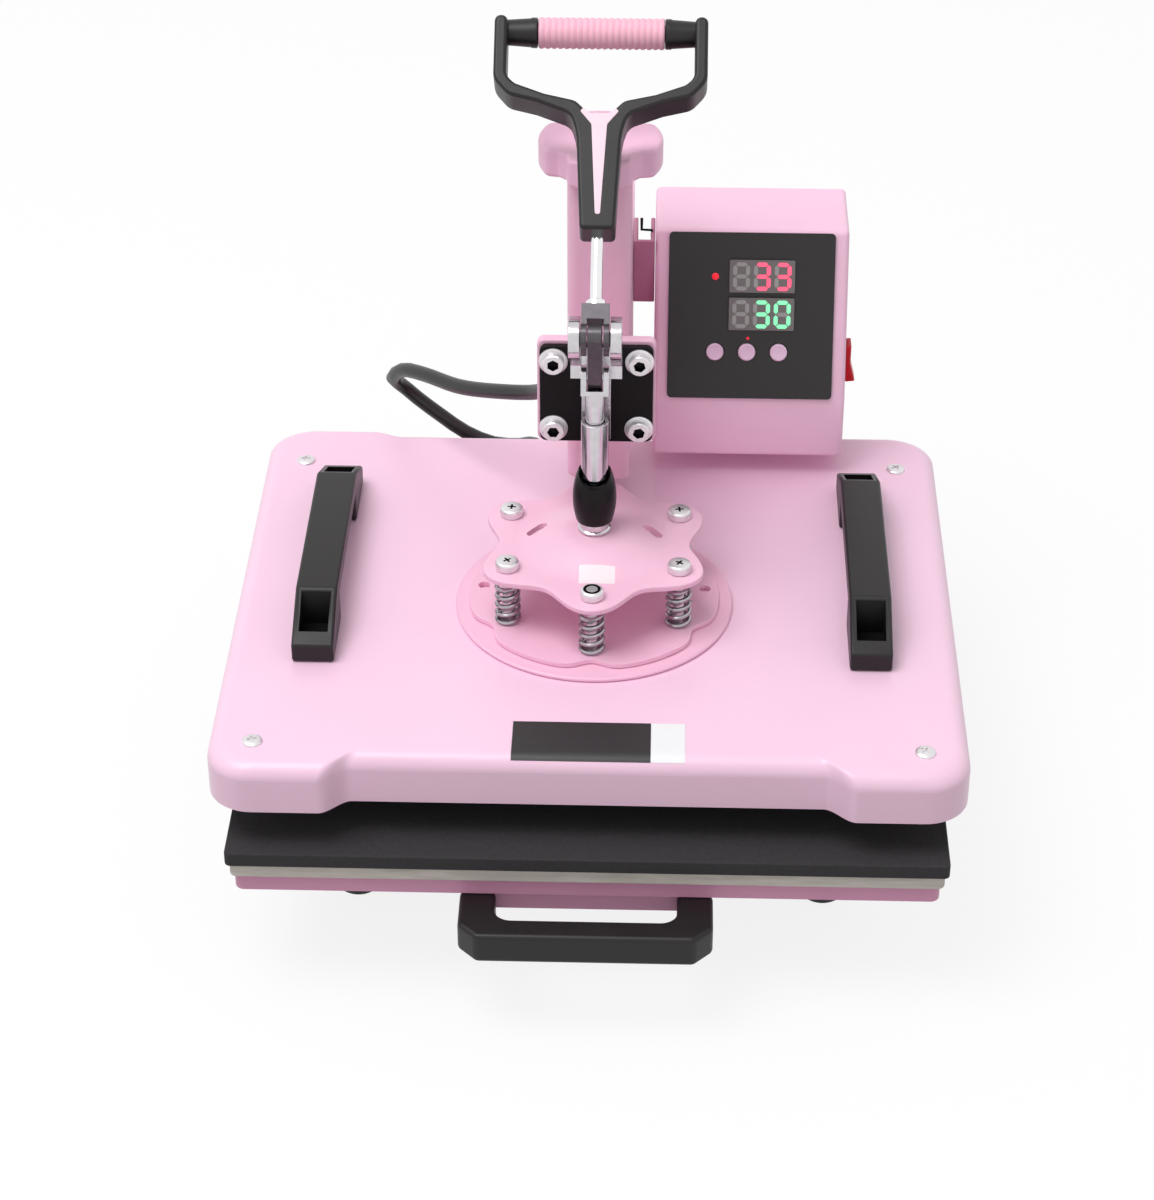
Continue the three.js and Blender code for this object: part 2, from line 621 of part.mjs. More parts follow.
function buildPlaten(press) {
  const platen = makeGroup(press);
  const angles = screwAngles();
  const screwHoles = (z0, z1) => angles.map((angle) => rod(screw.radius + room.bore, z0, z1, boltSides)
    .translate(...atAngle(star.screwCircle, angle), 0));

  const heaterWidth = cover.width - 2 * heater.sideInset;
  const heaterDepth = cover.depth - 2 * heater.endInset;
  const insulationBase = level.heater + heater.height + room.seat;
  const coverInside = level.coverTop - cover.wall;
  add(platen, "heating_plate", upright(
    roundedRectangle(heaterWidth, heaterDepth, heater.corner, cover.centreBack),
    level.heater, level.heater + heater.height,
  ), aluminium);
  add(platen, "insulation_blanket", upright(
    roundedRectangle(
      heaterWidth - 2 * cover.roll, heaterDepth - 2 * cover.roll, heater.corner, cover.centreBack,
    ),
    insulationBase, coverInside - room.seat,
  ), glassWool);

  const shell = coverSkin(0, level.coverLip, level.coverTop, cover.roll);
  const cavity = coverSkin(cover.wall, level.coverLip - overrun, coverInside, cover.roll - cover.wall);
  const cablePassage = rod(cableHole.radius, -cover.depth / 4, cover.depth / 4).rotateX(Math.PI / 2)
    .translate(cableHole.side, depth.coverBack, level.coverTop - cableHole.below);
  add(platen, "platen_cover", cut(
    shell, cavity, cablePassage, ...screwHoles(coverInside - overrun, level.coverTop + overrun),
  ), pink);

  add(platen, "ring_plate", cut(
    rod(ring.radius, level.ring, level.ring + ring.height, wavePoints),
    ...screwHoles(level.ring - overrun, level.ring + ring.height + overrun),
  ), pink);

  const notchSharpness = 12;
  const flangeShape = wavy((angle) => {
    const wave = Math.max(0, Math.cos((starLobes / 2) * (angle - Math.PI / starLobes)) ** 2);
    return flange.radius - flange.notch * wave ** (notchSharpness / 2);
  });
  const lobeHoles = sides.map(([, side]) => rod(
    flange.holeRadius, level.flange - overrun, level.flangeTop + overrun, boltSides,
  ).translate(side * flange.holeAside, flange.holeBack, 0));
  add(platen, "flange_plate", cut(
    upright(flangeShape, level.flange, level.flangeTop),
    ...screwHoles(level.flange - overrun, level.flangeTop + overrun), ...lobeHoles,
  ), pink);

  const coil = springGeometry();
  console.log(`least gap of a spring to itself: ${leastSelfGap(coil.rings).toFixed(2)} mm`);
  const headBase = level.starTop + room.seat;
  angles.forEach((angle, i) => {
    const [x, y] = atAngle(star.screwCircle, angle);
    add(platen, `spring_${i + 1}`, coil.geometry, chrome)
      .position.set(x, y, level.flangeTop + room.seat);
    const profile = [
      [0, coverInside], [screw.radius, coverInside], [screw.radius, headBase],
      [screw.headRadius, headBase], [screw.headRadius, headBase + screw.headHeight],
      [0, headBase + screw.headHeight],
    ];
    add(platen, `platen_screw_${i + 1}`, turned(profile, boltSides), zincSteel).position.set(x, y, 0);
  });

  const { length, height, bar, foot: slope, footLip, footBase } = sideHandle;
  const reach = length / 2;
  const sideView = outline([
    [-reach, 0], [-reach + footBase, 0], [-reach + slope + bar, height - bar],
    [reach - slope - bar, height - bar], [reach - footBase, 0], [reach, 0], [reach, footLip],
    [reach - slope, height], [-reach + slope, height], [-reach, footLip],
  ]);
  for (const [sideName, side] of sides) {
    add(platen, `side_handle_${sideName}`, across(sideView, -sideHandle.width / 2, sideHandle.width / 2),
      blackPlastic).position.set(
      side * (cover.width / 2 - sideHandle.edgeInset), sideHandle.centreBack, level.coverTop + room.seat,
    );
  }
}

// Plunger: star plate, nut, sleeve and the rod with its fork

function buildPlunger(press) {
  const body = makeGroup(press);
  const middle = (star.tip + star.waist) / 2;
  const swell = (star.tip - star.waist) / 2;
  const plate = upright(
    wavy((angle) => middle - swell * Math.cos(starLobes * angle)), level.star, level.starTop,
  );
  const domeTop = level.starTop + star.domeHeight;
  const dome = turned([
    [0, level.starTop - weldSink], [star.domeRadius, level.starTop - weldSink],
    [star.domeRadius, level.starTop], [star.domeTop, domeTop], [0, domeTop],
  ], wavePoints);
  const below = level.star - overrun;
  const above = level.nut + overrun;
  const domeInside = turned([
    [0, below], [star.domeRadius - star.height, below], [star.domeRadius - star.height, level.star],
    [star.domeTop, domeTop - star.height], [0, domeTop - star.height],
  ], wavePoints);
  const holes = screwAngles().map((angle) => rod(screw.radius + room.bore, below, above, boltSides)
    .translate(...atAngle(star.screwCircle, angle), 0));
  const slots = sides.map(([, side]) => upright(
    roundedRectangle(star.slotLength, star.slotWidth, star.slotWidth / 2 - mergeTolerance), below, above,
  ).rotateZ(-side * Math.PI / 4).translate(side * star.slotCircle, plunger.footRadius, 0));
  const centre = rod(plunger.radius + room.bore, below, above);
  add(body, "star_plate", cut(join(plate, dome), domeInside, ...holes, ...slots, centre), pink);

  add(body, "flange_nut", tube(
    flangeNut.radius, plunger.radius + room.bore, level.nut, level.nut + flangeNut.height,
  ), chrome);

  const mouthRadius = sleeve.endRadius - sleeve.mouthWall;
  const mouthZ = level.sleeveTop - sleeve.mouthDepth;
  const outside = sleeveWaistShares.map(([up, out]) => [
    sleeve.endRadius + out * (sleeve.bellyRadius - sleeve.endRadius), level.sleeve + up * sleeve.height,
  ]);
  add(body, "rubber_sleeve", turned([
    [plunger.radius + room.bore, level.sleeve], ...outside,
    [guideTube.radius + room.bore, level.sleeveTop], [guideTube.radius + room.bore, mouthZ],
    [plunger.radius + room.bore, mouthZ], [plunger.radius + room.bore, level.sleeve],
  ]), rubber);
  if (mouthRadius <= plunger.radius) throw new Error("the sleeve's mouth is too narrow for the rod");

  const cheekIn = toggle.linkWidth / 2 + room.cheek;
  const cheekOut = cheekIn + toggle.cheek;
  const footTop = domeTop - star.height - room.seat;
  const shank = turned([
    [0, footTop - plunger.footHeight], [plunger.footRadius, footTop - plunger.footHeight],
    [plunger.footRadius, footTop], [plunger.radius, footTop],
    [plunger.radius, level.linkPin - plunger.forkDrop + weldSink],
    [0, level.linkPin - plunger.forkDrop + weldSink],
  ]);
  const cheek = new THREE.Shape();
  cheek.moveTo(-plunger.forkRadius, level.linkPin - plunger.forkDrop);
  cheek.lineTo(plunger.forkRadius, level.linkPin - plunger.forkDrop);
  cheek.lineTo(plunger.forkRadius, level.linkPin);
  cheek.absarc(0, level.linkPin, plunger.forkRadius, 0, Math.PI);
  const forkBlock = across(cheek, -cheekOut, cheekOut);
  const forkSlot = block(
    -cheekIn, cheekIn, -plunger.forkRadius - overrun, plunger.forkRadius + overrun,
    level.linkPin - toggle.linkRadius - room.cheek, level.linkPin + plunger.forkRadius + overrun,
  );
  const pin = rodAcross(plunger.pinRadius, -cheekOut, cheekOut, 0, level.linkPin);
  add(body, "plunger_rod", join(shank, cut(forkBlock, forkSlot), pin), chrome);
}

// Toggle link: from the fork's pin up to the lever's crank

function buildLink(press) {
  const group = makeGroup(press);
  group.position.set(0, 0, level.linkPin);
  group.rotation.x = linkTilt;
  const shape = new THREE.Shape();
  shape.absarc(0, 0, toggle.linkRadius, Math.PI, 2 * Math.PI);
  shape.absarc(0, toggle.link, toggle.linkRadius, 0, Math.PI);
  const bar = across(shape, -toggle.linkWidth / 2, toggle.linkWidth / 2);
  const eye = rodAcross(plunger.pinRadius + room.bore, -toggle.linkWidth, toggle.linkWidth, 0, 0);
  add(group, "toggle_link", cut(bar, eye), zincSteel);
}

// Lever: clevis with its trunnions, rod, forked handle and grip

function forkShape() {
  const elbow = fork.armLow + fork.armRise;
  const inside = fork.armHalf - fork.band;
  const half = [
    [fork.stemHalf, fork.bottom], [fork.neckHalf, fork.neck],
    [fork.neckHalf + fork.bend / 3, fork.crotch - fork.bend / 4], [fork.neckHalf + fork.bend, fork.armLow],
    [fork.armHalf - fork.bend, elbow], [fork.armHalf - fork.bend / 4, elbow + fork.bend / 4],
    [fork.armHalf, elbow + fork.bend], [fork.armHalf, fork.armHigh],
    [fork.armHalf - fork.band / 4, fork.top - fork.band / 4], [fork.armHalf - fork.band / 2, fork.top],
    [inside, fork.top], [inside, elbow + fork.bend + fork.armBand / 2],
    [inside - fork.bend / 4, elbow + fork.armBand],
    [fork.neckHalf + fork.bend / 4, fork.armLow + fork.armBand / 2],
    [fork.neckHalf / 2, fork.crotch],
  ];
  const mirrored = half.map(([x, y]) => [-x, y]).reverse();
  return outline([...half, ...mirrored]);
}

function buildLever(press) {
  const group = makeGroup(press);
  group.position.set(0, 0, level.pivot);
  group.rotation.x = -THREE.MathUtils.degToRad(lever.leanDeg);

  const cheekIn = toggle.linkWidth / 2 + room.cheek;
  const cheekOut = cheekIn + toggle.cheek;
  // The crank points to the front, at the angle that the travel leaves above level.
  const crankAngle = THREE.MathUtils.degToRad(lever.travelDeg - 90 - lever.leanDeg);
  const crankY = -toggle.crank * Math.cos(crankAngle);
  const crankZ = toggle.crank * Math.sin(crankAngle);
  const hub = rodAcross(toggle.hubRadius, -cheekOut, cheekOut, 0, 0);
  const crank = rodAcross(toggle.crankRadius, -cheekOut, cheekOut, crankY, crankZ);
  const yokeTop = lever.yokeStart + lever.yokeLength;
  const arm = block(-cheekOut, cheekOut, -toggle.crankRadius, toggle.crankRadius, 0, yokeTop);
  const slot = block(
    -cheekIn, cheekIn, -toggle.crank - toggle.hubRadius, toggle.crank + toggle.hubRadius,
    -toggle.hubRadius - overrun, lever.yokeStart,
  );
  const trunnionOut = cheekOut + room.cheek + toggle.ear;
  const trunnions = sides.map(([, side]) => rodAcross(
    toggle.trunnionRadius, side > 0 ? cheekOut - weldSink : -trunnionOut,
    side > 0 ? trunnionOut : -cheekOut + weldSink, 0, 0,
  ));
  const shank = rod(lever.rodRadius, yokeTop - weldSink, fork.bottom + lever.rodInFork);
  add(group, "toggle_lever", join(cut(join(hub, crank, arm), slot), ...trunnions, shank), chrome);

  const plate = new THREE.ExtrudeGeometry(forkShape(), { depth: fork.thickness, bevelEnabled: false })
    .rotateX(Math.PI / 2).translate(0, fork.thickness / 2, 0);
  const bar = rodAcross(
    grip.rodRadius, -fork.armHalf + fork.band - weldSink, fork.armHalf - fork.band + weldSink, 0, grip.height,
  );
  const collars = sides.map(([, side]) => {
    const near = grip.length / 2 + room.seat;
    const far = fork.armHalf - fork.band + weldSink;
    return rodAcross(
      grip.collarRadius, side > 0 ? near : -far, side > 0 ? far : -near, 0, grip.height,
    );
  });
  const rodHole = rod(
    lever.rodRadius + room.bore, fork.bottom - overrun, fork.bottom + lever.rodInFork + room.bore,
  );
  add(group, "y_handle", cut(join(plate, bar, ...collars), rodHole), blackPlastic);

  const ribPitch = grip.length / grip.ribs;
  const profile = [[grip.rodRadius + room.bore, -grip.length / 2]];
  for (let i = 0; i < grip.ribs; i += 1) {
    const start = -grip.length / 2 + i * ribPitch;
    profile.push([grip.radius - grip.ribDepth, start]);
    profile.push([grip.radius, start + ribPitch / 2]);
  }
  profile.push([grip.radius - grip.ribDepth, grip.length / 2]);
  profile.push([grip.rodRadius + room.bore, grip.length / 2], [grip.rodRadius + room.bore, -grip.length / 2]);
  add(group, "grip_sleeve", turned(profile).rotateY(Math.PI / 2), gripFoam)
    .position.set(0, 0, grip.height);
}

// Carriage: what the pressure screw lifts along the column

function buildCarriage(press) {
  const group = makeGroup(press);
  const cheekOut = toggle.linkWidth / 2 + room.cheek + toggle.cheek;
  const earIn = cheekOut + room.cheek;
  const earOut = earIn + toggle.ear;
  const plateFront = depth.toggleBase - room.seat;
  const backFront = plateFront - toggle.backWall;

  const ear = new THREE.Shape();
  ear.moveTo(plateFront, level.pivot - toggle.earDrop);
  ear.lineTo(plateFront, level.toggleBaseTop);
  ear.lineTo(toggle.earRadius, level.pivot + toggle.earRadius * Math.sin(Math.PI / 4));
  ear.absarc(0, level.pivot, toggle.earRadius, Math.PI / 4, 1.25 * Math.PI);
  const earPlate = (side) => across(ear, side > 0 ? earIn : -earOut, side > 0 ? earOut : -earIn);
  const trunnionHole = rodAcross(
    toggle.trunnionRadius + room.bore, -earOut - overrun, earOut + overrun, 0, level.pivot,
  );
  const backStart = level.pivot - toggle.earDrop - toggle.backDrop;
  const back = join(
    block(-earOut, earOut, backFront, plateFront, backStart, level.toggleBaseTop),
    block(
      -toggle.backHalf, toggle.backHalf, backFront, plateFront,
      level.sleeveTop + room.seat, backStart + weldSink,
    ),
  );
  const web = block(
    -toggle.webWidth / 2, toggle.webWidth / 2, plunger.radius + room.bore, plateFront - weldSink,
    level.sleeveTop + room.seat, level.guideTubeTop - weldSink,
  );
  const barrel = rod(guideTube.radius, level.guideTube, level.guideTubeTop);
  const barrelBore = rod(plunger.radius + room.bore, level.guideTube - overrun, level.guideTubeTop + overrun);
  const sliderPath = block(
    -cheekOut - room.cheek, cheekOut + room.cheek, -toggle.crank - toggle.hubRadius,
    backFront, level.guideTubeTop, level.pivot + toggle.crank + toggle.hubRadius,
  );
  const shaped = join(earPlate(-1), earPlate(1), back, cut(join(web, barrel), barrelBore, sliderPath));
  add(group, "toggle_frame", cut(shaped, trunnionHole), chrome);

  const plate = new THREE.ExtrudeGeometry(
    roundedRectangle(toggleBase.width, toggleBase.height, mounting.corner),
    { depth: toggleBase.thickness, bevelEnabled: false, curveSegments: cornerSteps },
  ).rotateX(Math.PI / 2);
  const [boltX, boltZ] = [toggleBase.width / 2 - toggleBolt.inset, toggleBase.height / 2 - toggleBolt.inset];
  const bolts = [[-1, -1], [1, -1], [-1, 1], [1, 1]].map(([aside, up]) => rod(
    toggleBolt.radius, -weldSink, toggleBolt.height, toggleBolt.sides,
  ).rotateX(Math.PI / 2).translate(aside * boltX, -toggleBase.thickness, up * boltZ));
  add(group, "toggle_base", join(plate, ...bolts), blackSteel).position.set(
    0, depth.toggleBase + toggleBase.thickness, level.plateMiddle,
  );
  const carrier = new THREE.ExtrudeGeometry(
    roundedRectangle(mounting.width, mounting.height, mounting.corner),
    { depth: mounting.thickness, bevelEnabled: false, curveSegments: cornerSteps },
  ).rotateX(Math.PI / 2);
  add(group, "mounting_plate", carrier, pink).position.set(
    0, depth.mounting + mounting.thickness, level.plateMiddle,
  );

  // The block slides on the column's face and the nut's stem reaches it through a slot.
  const blockBack = depth.column - room.slide;
  add(group, "carriage_block", block(
    -carriage.blockWidth / 2, carriage.blockWidth / 2, depth.block, blockBack,
    level.block, level.block + carriage.blockHeight,
  ), pink);
  const nutX = column.width / 2 - column.wall - room.slide;
  const nutY = column.depth / 2 - column.wall - room.slide;
  const [nutLow, nutHigh] = [level.nutMiddle - nut.height / 2, level.nutMiddle + nut.height / 2];
  const nutBlock = block(
    -nutX, nutX, depth.columnCentre - nutY, depth.columnCentre + nutY, nutLow, nutHigh,
  );
  const stem = block(
    -nut.stemWidth / 2, nut.stemWidth / 2, blockBack + room.seat, depth.columnCentre, nutLow, nutHigh,
  );
  const thread = rod(
    leadScrew.radius + room.bore, nutLow - overrun, nutHigh + overrun,
  ).translate(0, depth.columnCentre, 0);
  add(group, "carriage_nut", cut(join(nutBlock, stem), thread), zincSteel);

  const glandX = -mounting.width / 2 + gland.sideInset;
  const glandZ = level.toggleBase + gland.up;
  const glandBody = tube(
    gland.radius, cable.radius + room.bore, 0, gland.length,
  ).rotateX(-Math.PI / 2);
  add(group, "cable_gland", glandBody, rubber).position.set(
    glandX, depth.block, glandZ,
  );
}

// Arm: column, beam and rear leg welded into one gooseneck, and its shaft

function buildArm(press) {
  const arm = makeGroup(press);
  const half = column.width / 2;
  const post = block(-half, half, depth.column, depth.columnBack, level.column, level.columnTop);
  const reach = block(
    -beam.width / 2, beam.width / 2, depth.columnBack - weldSink, depth.legBack, level.beam, level.beamTop,
  );
  const leg = block(
    -beam.width / 2, beam.width / 2, depth.legFront, depth.legBack, level.leg, level.beamTop,
  );
  const bore = block(
    -half + column.wall, half - column.wall, depth.column + column.wall, depth.columnBack - column.wall,
    level.column - overrun, level.columnTop - column.topWall,
  );
  const slot = block(
    -nut.stemWidth / 2 - room.slide, nut.stemWidth / 2 + room.slide,
    depth.column - overrun, depth.column + column.wall + overrun,
    level.nutMiddle - nut.height / 2 - carriage.slotRoom,
    level.nutMiddle + nut.height / 2 + carriage.travel + carriage.slotRoom,
  );
  const screwHole = rod(
    leadScrew.radius + room.bore, level.columnTop - column.topWall - overrun, level.columnTop + overrun,
  ).translate(0, depth.columnCentre, 0);
  const inner = beam.width / 2 - beam.wall;
  const beamHollow = block(
    -inner, inner, depth.columnBack + beam.wall, depth.legBack - beam.wall,
    level.beam + beam.wall, level.beamTop - beam.wall,
  );
  const legHollow = block(
    -inner, inner, depth.legFront + beam.wall, depth.legBack - beam.wall,
    level.leg + beam.wall, level.beamTop - beam.wall,
  );
  const wireZ = (level.beam + level.beamTop) / 2;
  const wirePass = block(
    -beam.wirePass, beam.wirePass, depth.columnBack - column.wall - overrun,
    depth.columnBack + beam.wall + overrun, wireZ - beam.wirePass, wireZ + beam.wirePass,
  );
  add(arm, "swing_arm", cut(
    join(post, reach, leg), bore, slot, screwHole, join(beamHollow, legHollow), wirePass,
  ), pink);

  const shaftBottom = level.collar - swing.shaftLength;
  add(arm, "swing_shaft", turned([
    [0, shaftBottom], [swing.shaftRadius, shaftBottom], [swing.shaftRadius, level.collar],
    [swing.collarRadius, level.collar], [swing.collarRadius, level.collar + swing.collarHeight],
    [0, level.collar + swing.collarHeight],
  ], fineSides), zincSteel).position.set(0, swing.reach, 0);
}

// Pressure adjuster: lobed knob on the screw that lifts the carriage

function buildAdjuster(press) {
  const group = makeGroup(press);
  group.position.set(0, depth.columnCentre, 0);
  const pitch = (2 * Math.PI) / knob.lobes;
  const lobed = wavy((angle) => {
    const fromNotch = Math.abs((angle % pitch) - pitch / 2) / (pitch / 2);
    return knob.radius - knob.lobeDepth * (1 - THREE.MathUtils.smoothstep(fromNotch, ...knobNotchShares));
  }, fineSteps);
  const base = level.columnTop + room.seat;
  const body = new THREE.ExtrudeGeometry(lobed, {
    depth: knob.height - 2 * knob.bevel, bevelEnabled: true, bevelThickness: knob.bevel,
    bevelSize: knob.bevel, bevelOffset: -knob.bevel, bevelSegments: 2,
  }).translate(0, 0, base + knob.bevel);
  const bore = rod(leadScrew.radius + room.seat, base - overrun, base + knob.boreDepth);
  add(group, "pressure_knob", cut(body, bore), pink);

  const bottom = level.nutMiddle - nut.height / 2 - leadScrew.belowNut;
  const collarTop = level.columnTop - column.topWall - room.seat;
  add(group, "pressure_screw", turned([
    [0, bottom], [leadScrew.radius, bottom], [leadScrew.radius, collarTop - leadScrew.collarHeight],
    [leadScrew.collarRadius, collarTop - leadScrew.collarHeight], [leadScrew.collarRadius, collarTop],
    [leadScrew.radius, collarTop], [leadScrew.radius, base + knob.boreDepth - room.seat],
    [0, base + knob.boreDepth - room.seat],
  ]), zincSteel);
}

// Control box: housing, back cover, panel, displays, buttons, switch, bracket

function buildControlBox(press) {
  const slant = THREE.MathUtils.degToRad(controlBox.slantDeg);
  const right = controlBox.left + controlBox.width;
  const kneeZ = level.controlBox + controlBox.facet;
  const topZ = kneeZ + controlBox.slantLength * Math.cos(slant);
  const topY = controlBox.front + controlBox.slantLength * Math.sin(slant);
  const backY = topY + controlBox.topDepth;
  const wall = controlBox.wall;

  const box = makeGroup(press);
  const outer = outline([
    [controlBox.front, level.controlBox], [backY, level.controlBox], [backY, topZ], [topY, topZ],
    [controlBox.front, kneeZ],
  ]);
  const wallUp = wall * Math.tan((Math.PI / 2 - slant) / 2);
  const inner = outline([
    [controlBox.front + wall, level.controlBox + wall], [backY + overrun, level.controlBox + wall],
    [backY + overrun, topZ - wall], [topY + wallUp, topZ - wall],
    [controlBox.front + wall, kneeZ + wall * Math.tan(slant / 2)],
  ]);

  // The face group lies on the slanted front: x is right, y is up the slant.
  const face = makeGroup(press);
  face.position.set(controlBox.left + controlBox.width / 2, controlBox.front, kneeZ);
  face.rotation.x = Math.PI / 2 - slant;
  face.updateMatrixWorld(true);
  const faceMiddle = controlBox.slantLength / 2;
  const panelTop = faceMiddle + panel.height / 2;
  const panelBottom = faceMiddle - panel.height / 2;
  const buttonPlaces = [-1, 0, 1].map((i) => [
    button.centreShift + i * button.pitch, panelBottom + button.height,
  ]);
  const buttonHoles = (z0, z1) => buttonPlaces.map(
    ([x, y]) => rod(button.radius + room.bore, z0, z1).translate(x, y, 0),
  );
  const onFace = (geometry) => geometry.clone().applyMatrix4(face.matrixWorld);

  const windowZ = level.controlBox + rocker.up;
  const windowY = controlBox.front + rocker.back;
  const rockerWindow = block(
    right - wall - overrun, right + overrun, windowY - rocker.width / 2 - room.bore,
    windowY + rocker.width / 2 + room.bore, windowZ - rocker.height / 2 - rocker.windowRoom,
    windowZ + rocker.height / 2 + rocker.windowRoom,
  );
  const shell = cut(
    across(outer, controlBox.left, right), across(inner, controlBox.left + wall, right - wall),
    rockerWindow, ...buttonHoles(-wall - overrun, overrun).map(onFace),
  );
  add(box, "control_housing", shell, pink);
  add(box, "control_back_cover", block(
    controlBox.left + wall + room.slide, right - wall - room.slide,
    backY - controlBox.backWall, backY,
    level.controlBox + wall + room.slide, topZ - wall - room.slide,
  ), deepPink);
  add(box, "mains_gland", tube(
    mainsGland.radius, mainsGland.bore, 0, mainsGland.length,
  ).rotateX(-Math.PI / 2), rubber).position.set(
    controlBox.left + controlBox.width / 2, backY + room.seat, level.controlBox + mainsGland.up,
  );

  const panelBase = room.seat;
  const panelFace = panelBase + panel.thickness;
  const plate = block(-panel.width / 2, panel.width / 2, panelBottom, panelTop, panelBase, panelFace);
  const drilled = cut(plate, ...buttonHoles(panelBase - overrun, panelFace + overrun));
  add(face, "control_panel", drilled, blackPlastic);

  const displayRight = panel.width / 2 - display.rightInset;
  ["temperature_display", "time_display"].forEach((name, i) => {
    const top = panelTop - display.topInset - i * display.pitch;
    add(face, name, block(
      displayRight - display.width, displayRight, top - display.height, top,
      panelFace + room.seat, panelFace + room.seat + display.thickness,
    ), displayGlass);
  });

  ["set_button", "up_button", "down_button"].forEach((name, i) => {
    const [x, y] = buttonPlaces[i];
    const top = panelFace + button.proud;
    add(face, name, rod(button.radius, top - button.length, top), gripFoam).position.set(x, y, 0);
  });

  // The rocker's two faces meet at a shallow ridge and it turns about that middle.
  const tilt = Math.tan(THREE.MathUtils.degToRad(rocker.tiltDeg));
  const rockerShape = outline([
    [-rocker.depth, -rocker.height / 4], [-rocker.depth, rocker.height / 4],
    [0, rocker.height / 2], [rocker.proud + (rocker.height / 2) * tilt, rocker.height / 2],
    [rocker.proud, 0], [rocker.proud + (rocker.height / 2) * tilt, -rocker.height / 2],
    [0, -rocker.height / 2],
  ].reverse());
  const rockerSolid = new THREE.ExtrudeGeometry(rockerShape, { depth: rocker.width, bevelEnabled: false })
    .rotateX(Math.PI / 2).translate(0, rocker.width / 2, 0);
  const rockerMesh = add(box, "rocker_switch", rockerSolid, redPlastic);
  rockerMesh.position.set(right, windowY, windowZ);
  rockerMesh.rotation.y = -THREE.MathUtils.degToRad(rocker.tiltDeg);

  const strut = bracket.wall;
  const [near, far] = [beam.width / 2 + room.seat, controlBox.left - room.seat];
  const start = controlBox.front + bracket.front;
  const z0 = level.beam + bracket.lift;
  const z1 = z0 + bracket.height;
  add(box, "control_bracket", join(
    block(near, near + strut, start, start + bracket.depth, z0, z1),
    block(far - strut, far, start + strut, start + bracket.depth, z0, z1),
    block(near, far, start, start + strut, z0, z1),
  ), deepPink);
}

// Cable: from the gland on the carriage, in a loop, into the platen's rear wall

function buildCable(press) {
  const group = makeGroup(press);
  const glandX = -mounting.width / 2 + gland.sideInset;
  const glandZ = level.toggleBase + gland.up;
  const startY = depth.block + gland.length + room.seat;
  const holeZ = level.coverTop - cableHole.below;
  // The route is chosen by hand, as offsets from the place of its nearer end.
  const fromGland = [
    [0, 0, 0], [0, 9, 0], [-1.5, 22, -3.5], [-10, 41, -18], [-32, 65, -32], [-57.9, 94.3, -46.2],
    [-81, 125, -56], [-95.5, 145.5, -65], [-103, 159, -78.5],
  ];
  const fromHole = [
    [-84, 42.5, 23], [-74.5, 42.3, 13.8], [-61, 38.8, 4.5], [-45.2, 35.2, -5.6], [-28, 33.5, -12.5],
    [-12.5, 29, -11], [-3.2, 20.5, -4.5], [0, 9, 0], [0, 0, 0],
  ];
  const points = [
    ...fromGland.map(([x, y, z]) => new THREE.Vector3(glandX + x, startY + y, glandZ + z)),
    ...fromHole.map(([x, y, z]) => new THREE.Vector3(
      cableHole.side + x, depth.coverBack + y, holeZ + z,
    )),
    new THREE.Vector3(cableHole.side, depth.coverBack - cableInside, holeZ),
  ];
  const route = new THREE.CatmullRomCurve3(points, false, "centripetal");
  const section = outline(Array.from({ length: cable.sides }, (_, i) => {
    const angle = (2 * Math.PI * i) / cable.sides;
    return [cable.radius * Math.cos(angle), cable.radius * Math.sin(angle)];
  }));
  const tubeGeometry = new THREE.ExtrudeGeometry(section, {
    extrudePath: route, steps: cable.steps, bevelEnabled: false,
  });
  add(group, "heater_cable", tubeGeometry, rubber);
  console.log(`heater cable length: ${route.getLength().toFixed(0)} mm`);
}

const press = new THREE.Group();
buildBase(press);
buildDrawer(press);
buildPlaten(press);
buildPlunger(press);
buildLink(press);
buildLever(press);
buildCarriage(press);
buildArm(press);
buildAdjuster(press);
buildControlBox(press);
buildCable(press);

// The origin is the middle of the footprint, measured without the free cable.
press.updateMatrixWorld(true);
const extent = new THREE.Box3();
press.traverse((piece) => {
  if (piece.isMesh && piece.name !== "heater_cable") extent.expandByObject(piece, true);
});
const middle = extent.getCenter(new THREE.Vector3());
press.position.set(-middle.x, -middle.y, -extent.min.z);
press.updateMatrixWorld(true);

export default press;
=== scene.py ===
# A pink swing-away heat press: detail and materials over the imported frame.
# Numbers for shapes are in millimetres, in the frame's own axes: +Z is up and
# the user stands on the -Y side. Blender's own lengths are metres.
from math import atan2, cos, pi, radians, sin, tan

import bmesh
import bpy
from mathutils import Matrix, Vector


